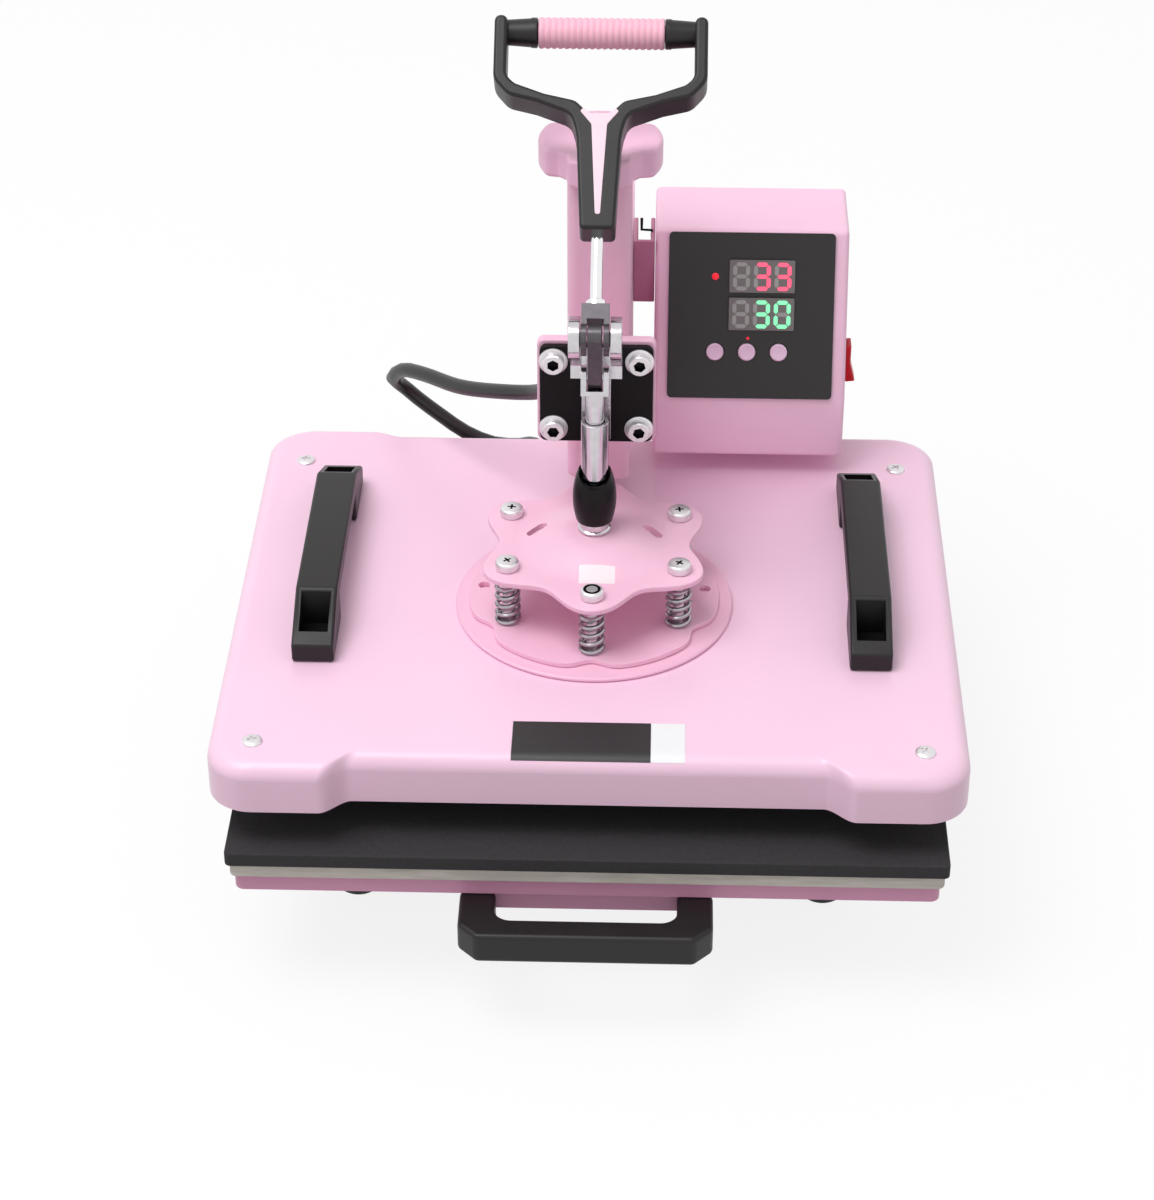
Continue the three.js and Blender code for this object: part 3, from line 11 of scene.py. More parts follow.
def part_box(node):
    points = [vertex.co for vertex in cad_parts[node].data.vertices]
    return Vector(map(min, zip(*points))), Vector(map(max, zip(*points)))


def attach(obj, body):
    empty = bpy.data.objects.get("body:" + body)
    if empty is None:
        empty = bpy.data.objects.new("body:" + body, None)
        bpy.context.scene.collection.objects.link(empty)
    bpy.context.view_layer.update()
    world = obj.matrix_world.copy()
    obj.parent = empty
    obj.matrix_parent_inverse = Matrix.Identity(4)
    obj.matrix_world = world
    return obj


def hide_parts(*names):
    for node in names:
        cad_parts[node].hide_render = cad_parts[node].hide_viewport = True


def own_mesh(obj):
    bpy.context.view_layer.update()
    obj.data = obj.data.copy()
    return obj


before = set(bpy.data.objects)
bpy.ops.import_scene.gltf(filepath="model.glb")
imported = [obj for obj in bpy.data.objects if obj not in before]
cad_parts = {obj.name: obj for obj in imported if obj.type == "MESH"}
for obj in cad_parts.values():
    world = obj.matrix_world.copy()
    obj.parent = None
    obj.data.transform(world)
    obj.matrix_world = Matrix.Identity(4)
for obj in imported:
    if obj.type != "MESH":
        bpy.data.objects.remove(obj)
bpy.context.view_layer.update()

MM = 0.001

# -------------------------------- helpers


def box(node):
    """The lowest and highest corner of a CAD node, in millimetres."""
    low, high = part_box(node)
    return low / MM, high / MM


def centre(node):
    low, high = box(node)
    return (low + high) / 2


def spot(x, y, z):
    """A move to a place."""
    return Matrix.Translation((x, y, z))


def about(axis, angle):
    """A turn about an axis, in degrees."""
    return Matrix.Rotation(radians(angle), 4, axis)


def rounded(corners, steps=6):
    """An outline through (x, y, radius) corners, with each corner an arc."""
    outline = []
    for i, (x, y, radius) in enumerate(corners):
        here = Vector((x, y))
        if not radius:
            outline.append((x, y))
            continue
        back = Vector(corners[i - 1][:2]) - here
        on = Vector(corners[(i + 1) % len(corners)][:2]) - here
        half = back.angle(on) / 2
        reach = min(radius / tan(half), 0.49 * back.length, 0.49 * on.length)
        back.normalize()
        on.normalize()
        middle = here + (back + on).normalized() * (reach / cos(half))
        start = here + back * reach - middle
        end = here + on * reach - middle
        turn = atan2(start.x * end.y - start.y * end.x, start.dot(end))
        for k in range(steps + 1):
            a = turn * k / steps
            outline.append((
                middle.x + start.x * cos(a) - start.y * sin(a),
                middle.y + start.x * sin(a) + start.y * cos(a),
            ))
    return outline


def rectangle(x0, x1, y0, y1, radius):
    """An outline with four round corners."""
    return rounded([(x, y, radius) for x, y in ((x0, y0), (x1, y0), (x1, y1), (x0, y1))])


def wave(radius_at, steps):
    """A closed outline whose radius follows the angle."""
    angles = [2 * pi * i / steps for i in range(steps)]
    return [(radius_at(a) * cos(a), radius_at(a) * sin(a)) for a in angles]


def skin(bm, a, b):
    """Faces between two rings; a ring may be a single point."""
    count = max(len(a), len(b))
    for i in range(count):
        j = (i + 1) % count
        corners = [a[i % len(a)], a[j % len(a)], b[j % len(b)], b[i % len(b)]]
        bm.faces.new(list(dict.fromkeys(corners)))


def loft(rings, ends="capped"):
    """A closed skin over rings; ends are capped, or joined to each other."""
    bm = bmesh.new()
    loops = [[bm.verts.new(point) for point in ring] for ring in rings]
    for a, b in zip(loops, loops[1:]):
        skin(bm, a, b)
    if ends == "joined":
        skin(bm, loops[-1], loops[0])
        return bm
    for loop in (loops[0], loops[-1]):
        if len(loop) > 2:
            bm.faces.new(loop)
    return bm


def prism(outline, low, high):
    """An outline in X and Y, running from low to high."""
    return loft([[(x, y, z) for x, y in outline] for z in (low, high)])


def block(x0, x1, y0, y1, z0, z1):
    """A plain box."""
    return prism([(x0, y0), (x1, y0), (x1, y1), (x0, y1)], z0, z1)


def side_prism(outline, x0, x1):
    """A side view, drawn in Y and Z, running from x0 to x1."""
    return loft([[(x, y, z) for y, z in outline] for x in (x0, x1)])


def lathe(profile, steps=48):
    """A piece turned about Z; a profile that leaves the axis clear is a tube."""
    turns = [2 * pi * i / steps for i in range(steps)]
    rings = [[(radius * cos(a), radius * sin(a), height) for a in (turns if radius else [0])]
             for radius, height in profile]
    solid_core = profile[0][0] == 0
    return loft(rings, "capped" if solid_core else "joined")


def tube(path, radius, sides=8):
    """A round bar along a list of points."""
    turns = [2 * pi * k / sides for k in range(sides)]
    rings = []
    side = None
    for i, point in enumerate(path):
        ahead = (path[min(i + 1, len(path) - 1)] - path[max(i - 1, 0)]).normalized()
        side = ahead.orthogonal() if side is None else side - ahead * side.dot(ahead)
        side.normalize()
        other = ahead.cross(side)
        rings.append([point + radius * (cos(a) * side + sin(a) * other) for a in turns])
    return loft(rings)


def merged(*parts):
    """Several shells as one bmesh."""
    whole = bmesh.new()
    for part in parts:
        mesh = bpy.data.meshes.new("part")
        part.to_mesh(mesh)
        part.free()
        whole.from_mesh(mesh)
        bpy.data.meshes.remove(mesh)
    return whole


def placed(bm, matrix):
    """The bmesh, moved."""
    bmesh.ops.transform(bm, matrix=matrix, verts=bm.verts)
    return bm


def solid(name, bm, place=None):
    """A new object from a bmesh in millimetres."""
    if place is not None:
        placed(bm, place)
    bmesh.ops.recalc_face_normals(bm, faces=bm.faces)
    bmesh.ops.scale(bm, vec=(MM, MM, MM), verts=bm.verts)
    mesh = bpy.data.meshes.new(name)
    bm.to_mesh(mesh)
    bm.free()
    piece = bpy.data.objects.new(name, mesh)
    bpy.context.collection.objects.link(piece)
    return piece


def applied(piece):
    """The piece with its modifiers made part of its mesh."""
    graph = bpy.context.evaluated_depsgraph_get()
    mesh = bpy.data.meshes.new_from_object(piece.evaluated_get(graph))
    piece.modifiers.clear()
    old = piece.data
    piece.data = mesh
    bpy.data.meshes.remove(old)
    return piece


def cut(piece, *tools):
    """The piece less the tools, which are used up."""
    for tool in tools:
        modifier = piece.modifiers.new("cut", "BOOLEAN")
        modifier.operation = "DIFFERENCE"
        modifier.solver = "EXACT"
        modifier.object = tool
    applied(piece)
    for tool in tools:
        bpy.data.objects.remove(tool)
    return piece


def eased(piece, width, segments=3, angle=30):
    """The piece with its edges rounded off."""
    modifier = piece.modifiers.new("ease", "BEVEL")
    modifier.width = width * MM
    modifier.segments = segments
    modifier.limit_method = "ANGLE"
    modifier.angle_limit = radians(angle)
    return applied(piece)


def dress(piece, look, body, nodes=(), sharp=40):
    """Gives a finished piece its material, shading, body and the nodes it stands for."""
    piece.data.materials.clear()
    piece.data.materials.append(look)
    for polygon in piece.data.polygons:
        polygon.material_index = 0
        polygon.use_smooth = True
    piece.data.set_sharp_from_angle(angle=radians(sharp))
    modifier = piece.modifiers.new("normals", "WEIGHTED_NORMAL")
    modifier.keep_sharp = True
    applied(piece)
    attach(piece, body)
    if nodes:
        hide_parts(*nodes)
    return piece


def copied(node):
    """A bmesh copy of a CAD node in millimetres, with each flat face made whole."""
    bm = bmesh.new()
    bm.from_mesh(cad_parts[node].data)
    bmesh.ops.remove_doubles(bm, verts=bm.verts, dist=1e-6)
    bmesh.ops.dissolve_limit(bm, angle_limit=radians(0.5), verts=bm.verts, edges=bm.edges)
    bmesh.ops.scale(bm, vec=(1 / MM, 1 / MM, 1 / MM), verts=bm.verts)
    return bm


def refined(node, look, body, width, segments=3):
    """A copy of a CAD node with its edges rounded off."""
    piece = eased(solid(node + "_eased", copied(node)), width, segments)
    return dress(piece, look, body, [node])


def lined(piece, look, chosen):
    """Gives a second material to the faces whose centre, in millimetres, and normal are chosen."""
    piece.data.materials.append(look)
    for polygon in piece.data.polygons:
        if chosen(polygon.center / MM, polygon.normal):
            polygon.material_index = 1


# -------------------------------- camera

# Fitted to the edges of the cover and of the pad. The place is in metres.
CAMERA_PLACE = (0.0318, -1.4659, 1.1132)
CAMERA_PITCH, CAMERA_YAW = 34.145, -1.656
FILM_SIDE, LENS = 36, 93

camera_data = bpy.data.cameras.new("camera")
camera_data.sensor_fit = "VERTICAL"
camera_data.sensor_height = FILM_SIDE
camera_data.lens = LENS
camera = bpy.data.objects.new("camera", camera_data)
bpy.context.collection.objects.link(camera)
camera.location = CAMERA_PLACE
pitch, yaw = radians(CAMERA_PITCH), radians(CAMERA_YAW)
ahead = Vector((sin(yaw) * cos(pitch), cos(yaw) * cos(pitch), -sin(pitch)))
camera.rotation_euler = ahead.to_track_quat("-Z", "Y").to_euler()
bpy.context.scene.camera = camera

# -------------------------------- materials

ROUGH_SPREAD = 0.05
GRAIN_DEPTH = 0.1


def srgb(red, green, blue):
    """A colour as a screen writes it, 0 to 255, as a linear one."""
    shares = [value / 255 for value in (red, green, blue)]
    return (*[s / 12.92 if s <= 0.04045 else ((s + 0.055) / 1.055) ** 2.4 for s in shares], 1.0)


def finish(name, colour, rough, tint, patch=10, grain=0.3, grain_size=0.8, metal=0.0,
           specular=0.5, stretch=(1, 1, 1), glow=None):
    """Uneven colour and gloss from a wide noise, and a bump from a fine one.

    tint is the share by which the colour varies, and grain the strength of the bump; patch and
    grain_size are in millimetres. stretch is a scale of both noises along each axis.
    """
    look = bpy.data.materials.new(name)
    look.use_nodes = True
    tree = look.node_tree
    shader = tree.nodes["Principled BSDF"]
    shader.inputs["Metallic"].default_value = metal
    shader.inputs["Specular IOR Level"].default_value = specular
    if glow is not None:
        shader.inputs["Emission Color"].default_value = srgb(*colour)
        shader.inputs["Emission Strength"].default_value = glow

    where = tree.nodes.new("ShaderNodeTexCoord")
    scaled = tree.nodes.new("ShaderNodeMapping")
    scaled.inputs["Scale"].default_value = stretch
    tree.links.new(where.outputs["Object"], scaled.inputs["Vector"])

    wide = tree.nodes.new("ShaderNodeTexNoise")
    wide.inputs["Scale"].default_value = 1 / (patch * MM)
    wide.inputs["Detail"].default_value = 3
    tree.links.new(scaled.outputs["Vector"], wide.inputs["Vector"])
    ramp = tree.nodes.new("ShaderNodeValToRGB")
    linear = srgb(*colour)
    ramp.color_ramp.elements[0].position = 0.3
    ramp.color_ramp.elements[0].color = (*[c * (1 - tint) for c in linear[:3]], 1)
    ramp.color_ramp.elements[1].position = 0.7
    ramp.color_ramp.elements[1].color = (*[min(1, c * (1 + tint)) for c in linear[:3]], 1)
    tree.links.new(wide.outputs["Fac"], ramp.inputs["Fac"])
    tree.links.new(ramp.outputs["Color"], shader.inputs["Base Color"])

    gloss = tree.nodes.new("ShaderNodeMapRange")
    gloss.inputs["To Min"].default_value = max(0.02, rough - ROUGH_SPREAD)
    gloss.inputs["To Max"].default_value = min(1.0, rough + ROUGH_SPREAD)
    tree.links.new(wide.outputs["Fac"], gloss.inputs["Value"])
    tree.links.new(gloss.outputs["Result"], shader.inputs["Roughness"])

    fine = tree.nodes.new("ShaderNodeTexNoise")
    fine.inputs["Scale"].default_value = 1 / (grain_size * MM)
    fine.inputs["Detail"].default_value = 2
    tree.links.new(scaled.outputs["Vector"], fine.inputs["Vector"])
    bump = tree.nodes.new("ShaderNodeBump")
    bump.inputs["Strength"].default_value = grain
    bump.inputs["Distance"].default_value = GRAIN_DEPTH * grain_size * MM
    tree.links.new(fine.outputs["Fac"], bump.inputs["Height"])
    tree.links.new(bump.outputs["Normal"], shader.inputs["Normal"])
    return look


cover_paint = finish("cover_paint", (246, 206, 229), 0.33, tint=0.012, patch=60, grain=0.25,
                     grain_size=2.5)
pink_paint = finish("pink_paint", (245, 194, 219), 0.33, tint=0.015, patch=40, grain=0.25,
                    grain_size=2.5)
box_paint = finish("box_paint", (249, 202, 227), 0.36, tint=0.012, patch=40, grain=0.25,
                   grain_size=2.0)
rose_paint = finish("rose_paint", (214, 150, 182), 0.38, tint=0.03, patch=30, grain_size=2.0)
mauve_paint = finish("mauve_paint", (186, 118, 148), 0.4, tint=0.03, patch=20, grain_size=2.0)
knob_plastic = finish("knob_plastic", (252, 198, 227), 0.42, tint=0.012, patch=25, grain=0.35,
                      grain_size=1.2)
black_plastic = finish("black_plastic", (22, 18, 20), 0.42, tint=0.12, patch=15, grain=0.5,
                       grain_size=1.0, specular=0.4)
# Painted shade: a near-black that stands for the shade inside screw recesses, bolt sockets and
# handle pockets.
painted_recess_shade = finish("painted_recess_shade", (12, 9, 11), 0.6, tint=0.1, grain=0.4, grain_size=1.0,
                        specular=0.2)
panel_film = finish("panel_film", (26, 22, 24), 0.4, tint=0.05, patch=20, grain=0.2,
                    specular=0.45)
black_steel = finish("black_steel", (16, 10, 14), 0.38, tint=0.1, patch=12, grain=0.4,
                     grain_size=1.5, specular=0.16)
black_rubber = finish("black_rubber", (10, 7, 9), 0.3, tint=0.1, grain=0.4, specular=0.2)
cable_rubber = finish("cable_rubber", (24, 21, 22), 0.36, tint=0.1, patch=8, grain_size=0.7)
bright_chrome = finish("bright_chrome", (238, 238, 240), 0.1, metal=1.0, tint=0.02, patch=8,
                       grain=0.1, grain_size=2.0)
chrome = finish("chrome", (206, 203, 207), 0.17, metal=1.0, tint=0.06, patch=5, grain=0.25,
                grain_size=1.5)
spring_steel = finish("spring_steel", (172, 170, 174), 0.25, metal=1.0, tint=0.05, patch=5,
                      grain=0.2, grain_size=1.0)
zinc = finish("zinc", (196, 194, 197), 0.3, metal=1.0, tint=0.06, patch=4)
satin_nickel = finish("satin_nickel", (226, 223, 225), 0.34, metal=0.85, tint=0.04, patch=4)
dark_steel = finish("dark_steel", (92, 89, 93), 0.3, metal=0.9, tint=0.1, patch=4, grain=0.35)
cast_aluminium = finish("cast_aluminium", (196, 196, 199), 0.38, metal=1.0, tint=0.05, patch=12,
                        grain=0.4, grain_size=1.2)
silicone = finish("silicone", (52, 50, 52), 0.8, tint=0.14, patch=1.6, grain=0.8, grain_size=1.2,
                  specular=0.3)
fibre_board = finish("fibre_board", (206, 198, 190), 0.85, tint=0.12, patch=2.5, grain=0.8,
                     stretch=(0.12, 0.12, 1.0))
felt = finish("felt", (232, 226, 212), 0.95, tint=0.06, patch=3, grain=0.9, grain_size=1.0)
display_window = finish("display_window", (112, 106, 106), 0.3, tint=0.03, grain=0.1)
unlit_bar = finish("unlit_bar", (158, 158, 156), 0.45, tint=0.02, patch=4, grain=0.1)
red_light = finish("red_light", (255, 88, 120), 0.45, tint=0.02, patch=4, grain=0.1, glow=0.75)
green_light = finish("green_light", (128, 236, 172), 0.45, tint=0.02, patch=4, grain=0.1,
                     glow=0.7)
lamp_red = finish("lamp_red", (236, 30, 50), 0.3, tint=0.03, patch=3, grain=0.1, glow=0.5)
red_plastic = finish("red_plastic", (206, 30, 44), 0.3, tint=0.04, patch=8, grain=0.2)
grip_foam = finish("grip_foam", (246, 186, 205), 0.6, tint=0.03, patch=5, grain=0.6)
insert_plastic = finish("insert_plastic", (242, 214, 227), 0.45, tint=0.015, patch=8)
button_rubber = finish("button_rubber", (238, 204, 228), 0.5, tint=0.02, patch=4, grain_size=0.6)
label_black = finish("label_black", (34, 31, 33), 0.4, tint=0.03, grain=0.15)
label_white = finish("label_white", (238, 238, 240), 0.4, tint=0.01, grain=0.15)
patch_film = finish("patch_film", (248, 232, 238), 0.35, tint=0.01, grain=0.1)

# -------------------------------- heater cable

CABLE_RADIUS = 4.5
CABLE_POINTS = 40
HOLE_X, HOLE_DROP = -40, 15
REAR_RECESS = 5.5
gland_low, gland_high = box("cable_gland")
cable_start = Vector((centre("cable_gland").x, gland_high.y + 0.3, centre("cable_gland").z))
cover_low, cover_high = box("platen_cover")
cable_hole = Vector((HOLE_X, cover_high.y - REAR_RECESS, cover_high.z - HOLE_DROP))

# The source's route: the first points from the gland, the others from the hole in the cover.
from_gland = [
    (0, 0, 0), (0, 9, 0), (-1.5, 22, -3.5), (-10, 41, -18), (-32, 65, -32), (-57.9, 94.3, -46.2),
    (-81, 125, -56), (-95.5, 145.5, -65), (-103, 159, -78.5),
]
from_hole = [
    (-84, 42.5, 23), (-74.5, 42.3, 13.8), (-61, 38.8, 4.5), (-45.2, 35.2, -5.6),
    (-28, 33.5, -12.5), (-12.5, 29, -11), (-3.2, 20.5, -4.5), (0, 9, 0), (0, 0, 0), (0, -12, 0),
]


def smooth_route(points, count):
    """The centripetal curve through points, as equally spaced points."""
    ends = [2 * points[0] - points[1], *points, 2 * points[-1] - points[-2]]
    fine = []
    for p0, p1, p2, p3 in zip(ends, ends[1:], ends[2:], ends[3:]):
        t0 = 0.0
        t1 = t0 + (p1 - p0).length ** 0.5
        t2 = t1 + (p2 - p1).length ** 0.5
        t3 = t2 + (p3 - p2).length ** 0.5
        for k in range(20):
            t = t1 + (t2 - t1) * k / 20
            a1 = (t1 - t) / (t1 - t0) * p0 + (t - t0) / (t1 - t0) * p1
            a2 = (t2 - t) / (t2 - t1) * p1 + (t - t1) / (t2 - t1) * p2
            a3 = (t3 - t) / (t3 - t2) * p2 + (t - t2) / (t3 - t2) * p3
            b1 = (t2 - t) / (t2 - t0) * a1 + (t - t0) / (t2 - t0) * a2
            b2 = (t3 - t) / (t3 - t1) * a2 + (t - t1) / (t3 - t1) * a3
            fine.append((t2 - t) / (t2 - t1) * b1 + (t - t1) / (t2 - t1) * b2)
    fine.append(points[-1])
    run = [0.0]
    for a, b in zip(fine, fine[1:]):
        run.append(run[-1] + (b - a).length)
    even = []
    for i in range(count):
        goal = run[-1] * i / (count - 1)
        k = max(j for j in range(len(run) - 1) if run[j] <= goal)
        share = (goal - run[k]) / (run[k + 1] - run[k])
        even.append(fine[k].lerp(fine[k + 1], share))
    return even


route = smooth_route([cable_start + Vector(p) for p in from_gland]
                     + [cable_hole + Vector(p) for p in from_hole], CABLE_POINTS)
curve = bpy.data.curves.new("heater_cable_cord", "CURVE")
curve.dimensions = "3D"
curve.bevel_depth = CABLE_RADIUS * MM
curve.bevel_resolution = 5
curve.use_fill_caps = True
line = curve.splines.new("POLY")
line.points.add(len(route) - 1)
for point, place in zip(line.points, route):
    point.co = (*(place * MM), 1)
line.use_smooth = True
cable = bpy.data.objects.new("heater_cable_cord", curve)
bpy.context.collection.objects.link(cable)
curve.materials.append(cable_rubber)
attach(cable, "platen")
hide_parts("heater_cable")

# -------------------------------- base and drawer

AXIS_Y = centre("ring_plate").y

refined("base_frame", pink_paint, "base", 1.2)
refined("drawer_track", zinc, "base", 0.4, 2)
for name in ("foot_front_left", "foot_front_right", "foot_rear_left", "foot_rear_right"):
    low, high = box(name)
    top = high.z
    half = (high.x - low.x) / 2
    foot = lathe([(0, 3), (4, 3), (4.6, 0), (half - 3.5, 0), (half - 2.5, 1),
                  (half - 0.6, top - 1.2), (half - 0.6, top - 0.5), (half - 1.1, top), (0, top)])
    dress(solid(name + "_turned", foot, spot(*centre(name).xy, 0)),
          black_rubber, "base", [name])

refined("drawer_tray", rose_paint, "drawer", 0.6, 2)
refined("lower_plate", rose_paint, "drawer", 1.2)
refined("lower_board", fibre_board, "drawer", 0.5, 2)
refined("silicone_pad", silicone, "drawer", 0.9)
refined("pull_handle", black_plastic, "drawer", 2.6, 4)

# -------------------------------- platen

refined("heating_plate", cast_aluminium, "platen", 0.8)
refined("insulation_blanket", felt, "platen", 1.5)

COVER_CORNER = 24
COVER_ROLL = 9
COVER_WALL = 2
FRONT_RECESS = 11
RECESS_HALF = 124
RECESS_BLEND = 17
ARC_STEPS = 12
RECESS_STEPS = 8


def bend(t):
    """A share from 0 to 1 that starts and ends level."""
    return t * t * (3 - 2 * t)


def cover_ring(inset, z):
    """The cover's outline with its shallow recesses in front and behind, drawn in by inset."""
    half_x = (cover_high.x - cover_low.x) / 2
    half_y = (cover_high.y - cover_low.y) / 2
    shares = [k / ARC_STEPS for k in range(ARC_STEPS + 1)]
    ring = []
    for way, recess in ((-1, FRONT_RECESS), (1, REAR_RECESS)):
        for t in shares:
            ring.append((way * (RECESS_HALF + RECESS_BLEND * (1 - t)),
                         way * (half_y - recess * bend(t))))
        for k in range(1, RECESS_STEPS):
            ring.append((way * (RECESS_HALF - 2 * RECESS_HALF * k / RECESS_STEPS),
                         way * (half_y - recess)))
        for t in shares:
            ring.append((-way * (RECESS_HALF + RECESS_BLEND * t),
                         way * (half_y - recess * bend(1 - t))))
        for cx, cy, start in ((-way, way, 90 * way), (-way, -way, 90 * way + 90)):
            for k in range(ARC_STEPS + 1):
                a = radians(start + 90 * k / ARC_STEPS)
                ring.append((cx * (half_x - COVER_CORNER) + COVER_CORNER * cos(a),
                             cy * (half_y - COVER_CORNER) + COVER_CORNER * sin(a)))
    middle = (cover_low + cover_high) / 2
    return [(x * (1 - inset / half_x) + middle.x, y * (1 - inset / half_y) + middle.y, z)
            for x, y in ring]


def rolled(wall, steps):
    """The rings of the cover's roll, up to its flat top, wall below the outer skin."""
    radius = COVER_ROLL - wall
    rings = []
    for k in range(steps + 1):
        a = pi / 2 * k / steps
        rings.append(cover_ring(wall + radius * (1 - cos(a)),
                                cover_high.z - wall - radius * (1 - sin(a))))
    return rings


def cover_shell():
    """A pan, open below."""
    rings = [cover_ring(0.5, cover_low.z), cover_ring(0, cover_low.z + 0.5), *rolled(0, 8)]
    inside = [cover_ring(COVER_WALL, cover_low.z), *rolled(COVER_WALL, 4)]
    bm = bmesh.new()
    outer = [[bm.verts.new(p) for p in ring] for ring in rings]
    inner = [[bm.verts.new(p) for p in ring] for ring in inside]
    for stack in (outer, inner):
        for a, b in zip(stack, stack[1:]):
            skin(bm, a, b)
        bm.faces.new(stack[-1])
    skin(bm, outer[0], inner[0])
    return bm


cover = solid("platen_cover_pressed", cover_shell())
passage = solid("passage", placed(lathe([(0, -20), (7, -20), (7, 20), (0, 20)]),
                                  spot(*cable_hole) @ about("X", 90)))
cut(cover, passage)
dress(cover, cover_paint, "platen", ["platen_cover"], sharp=50)

grommet_bore = CABLE_RADIUS + 0.15
grommet = lathe([(grommet_bore, -3.5), (6.8, -3.5), (6.8, -2.2), (6.2, -2), (6.2, -0.2), (8.5, 0),
                 (8.5, 1.0), (7.8, 1.8), (grommet_bore, 1.8)])
grommet_place = spot(cable_hole.x, cable_hole.y - 1.9, cable_hole.z) @ about("X", -90)
dress(solid("cable_grommet", grommet, grommet_place), black_rubber, "platen")


def cross_cut(head, reach, half, low, high):
    """A cross recess from low up, with arms of a length and half a width."""
    return cut(head, solid("arm", block(-reach, reach, -half, half, low, high)),
               solid("arm", block(-half, half, -reach, reach, low, high)))


def cross_head(radius, height, drive):
    """A pan head with a cross recess, standing on z = 0."""
    head = solid("head", lathe([
        (0, 0), (radius, 0), (radius, 0.35 * height), (0.92 * radius, 0.62 * height),
        (0.72 * radius, 0.86 * height), (0.4 * radius, 0.97 * height), (0, height),
    ], 32))
    return cross_cut(head, drive, 0.2 * drive + 0.25, 0.55 * height, 2 * height)


def cheese_head():
    """A tall round head of a platen screw, standing on z = 0, with its shaft below."""
    return solid("head", lathe([
        (0, -SHAFT_DEPTH), (SHAFT_RADIUS, -SHAFT_DEPTH), (SHAFT_RADIUS, 0), (6.2, 0), (6.5, 0.5),
        (6.5, 3.6), (6.1, 4.5), (5.2, 5.0), (0, 5.1),
    ], 40))


def twin(master, name, place):
    """A copy of a master piece, moved to a place in millimetres."""
    mesh = master.data.copy()
    to_metres = Matrix.Diagonal((MM, MM, MM, 1))
    to_millimetres = Matrix.Diagonal((1 / MM, 1 / MM, 1 / MM, 1))
    mesh.transform(to_metres @ place @ to_millimetres)
    piece = bpy.data.objects.new(name, mesh)
    bpy.context.collection.objects.link(piece)
    return piece


CORNER_SCREWS = [(-176, -134.5), (176, -134.5), (-176, 146), (176, 146)]
corner_head = cross_head(5.5, 2.0, 2.6)
for i, (x, y) in enumerate(CORNER_SCREWS):
    head = twin(corner_head, f"corner_screw_{i + 1}",
                spot(x, y + AXIS_Y, cover_high.z - 0.05) @ about("Z", 20 + 35 * i))
    dress(head, satin_nickel, "platen")
bpy.data.objects.remove(corner_head)

RING_RADIUS = 77
on_axis = spot(0, AXIS_Y, 0)
low, high = box("ring_plate")
ring_disc = lathe([(0, low.z), (RING_RADIUS - 0.6, low.z), (RING_RADIUS, low.z + 0.6),
                   (RING_RADIUS, high.z - 0.8), (RING_RADIUS - 0.8, high.z), (0, high.z)], 160)
dress(solid("ring_plate_disc", ring_disc, on_axis), pink_paint, "platen", ["ring_plate"])

FLANGE_RADIUS, FLANGE_NOTCH = 69.5, 6
FLANGE_HOLE_X, FLANGE_HOLE_Y, FLANGE_HOLE = 61.5, 7, 3.2
low, high = box("flange_plate")
flange_rim = wave(lambda a: FLANGE_RADIUS - FLANGE_NOTCH * abs(cos(3 * (a - pi / 6))) ** 12, 240)
flange = solid("flange_plate_disc", prism(flange_rim, low.z, high.z), on_axis)
holes = [solid("hole", prism(wave(lambda a: FLANGE_HOLE, 24), low.z - 2, high.z + 2),
               spot(x, AXIS_Y + FLANGE_HOLE_Y, 0)) for x in (-FLANGE_HOLE_X, FLANGE_HOLE_X)]
cut(flange, *holes)
eased(flange, 0.5, 2, 40)
dress(flange, pink_paint, "platen", ["flange_plate"])

# Six springs on shouldered screws. The front screw has a ring for a drive, the others a cross.
SPRING_TURNS, TURN_STEPS = 6.5, 24
END_TURNS = 0.75  # level turns at each end
WIRE, COIL_RADIUS = 1.3, 6
SHAFT_RADIUS = 3
SHAFT_DEPTH = box("spring_1")[1].z - box("spring_1")[0].z + 8
platen_head = cross_cut(cheese_head(), 2.4, 0.6, 3.9, 8)
ringed_head = cut(cheese_head(),
                  solid("groove", lathe([(3.1, 3.6), (4.7, 3.6), (4.7, 8), (3.1, 8)], 32)))
for i in range(6):
    node, screw = f"spring_{i + 1}", f"platen_screw_{i + 1}"
    low, high = box(node)
    x, y = centre(screw).xy
    coil = []
    for k in range(int(SPRING_TURNS * TURN_STEPS) + 1):
        turn = k / TURN_STEPS
        share = min(max((turn - END_TURNS) / (SPRING_TURNS - 2 * END_TURNS), 0), 1)
        level = low.z + WIRE + share * (high.z - low.z - 2 * WIRE)
        coil.append(Vector((x + COIL_RADIUS * cos(2 * pi * turn),
                            y + COIL_RADIUS * sin(2 * pi * turn), level)))
    piece = solid(node + "_coil", tube(coil, WIRE - 0.02))
    dress(piece, spring_steel, "plunger", [node])
    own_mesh(piece)
    top = box(screw)[1].z
    head = twin(platen_head if i else ringed_head, screw + "_head",
                spot(x, y, top - 5) @ about("Z", 15 + 40 * i))
    dress(head, satin_nickel, "platen", [screw])
    # Each head's drive, a cross or a ring groove, is painted near-black as the shade inside it.
    lined(head, painted_recess_shade, lambda c, n: (
        top - 1.6 < c.z < top - 0.1 and Vector((c.x - x, c.y - y)).length < 4.8))
bpy.data.objects.remove(platen_head)
bpy.data.objects.remove(ringed_head)

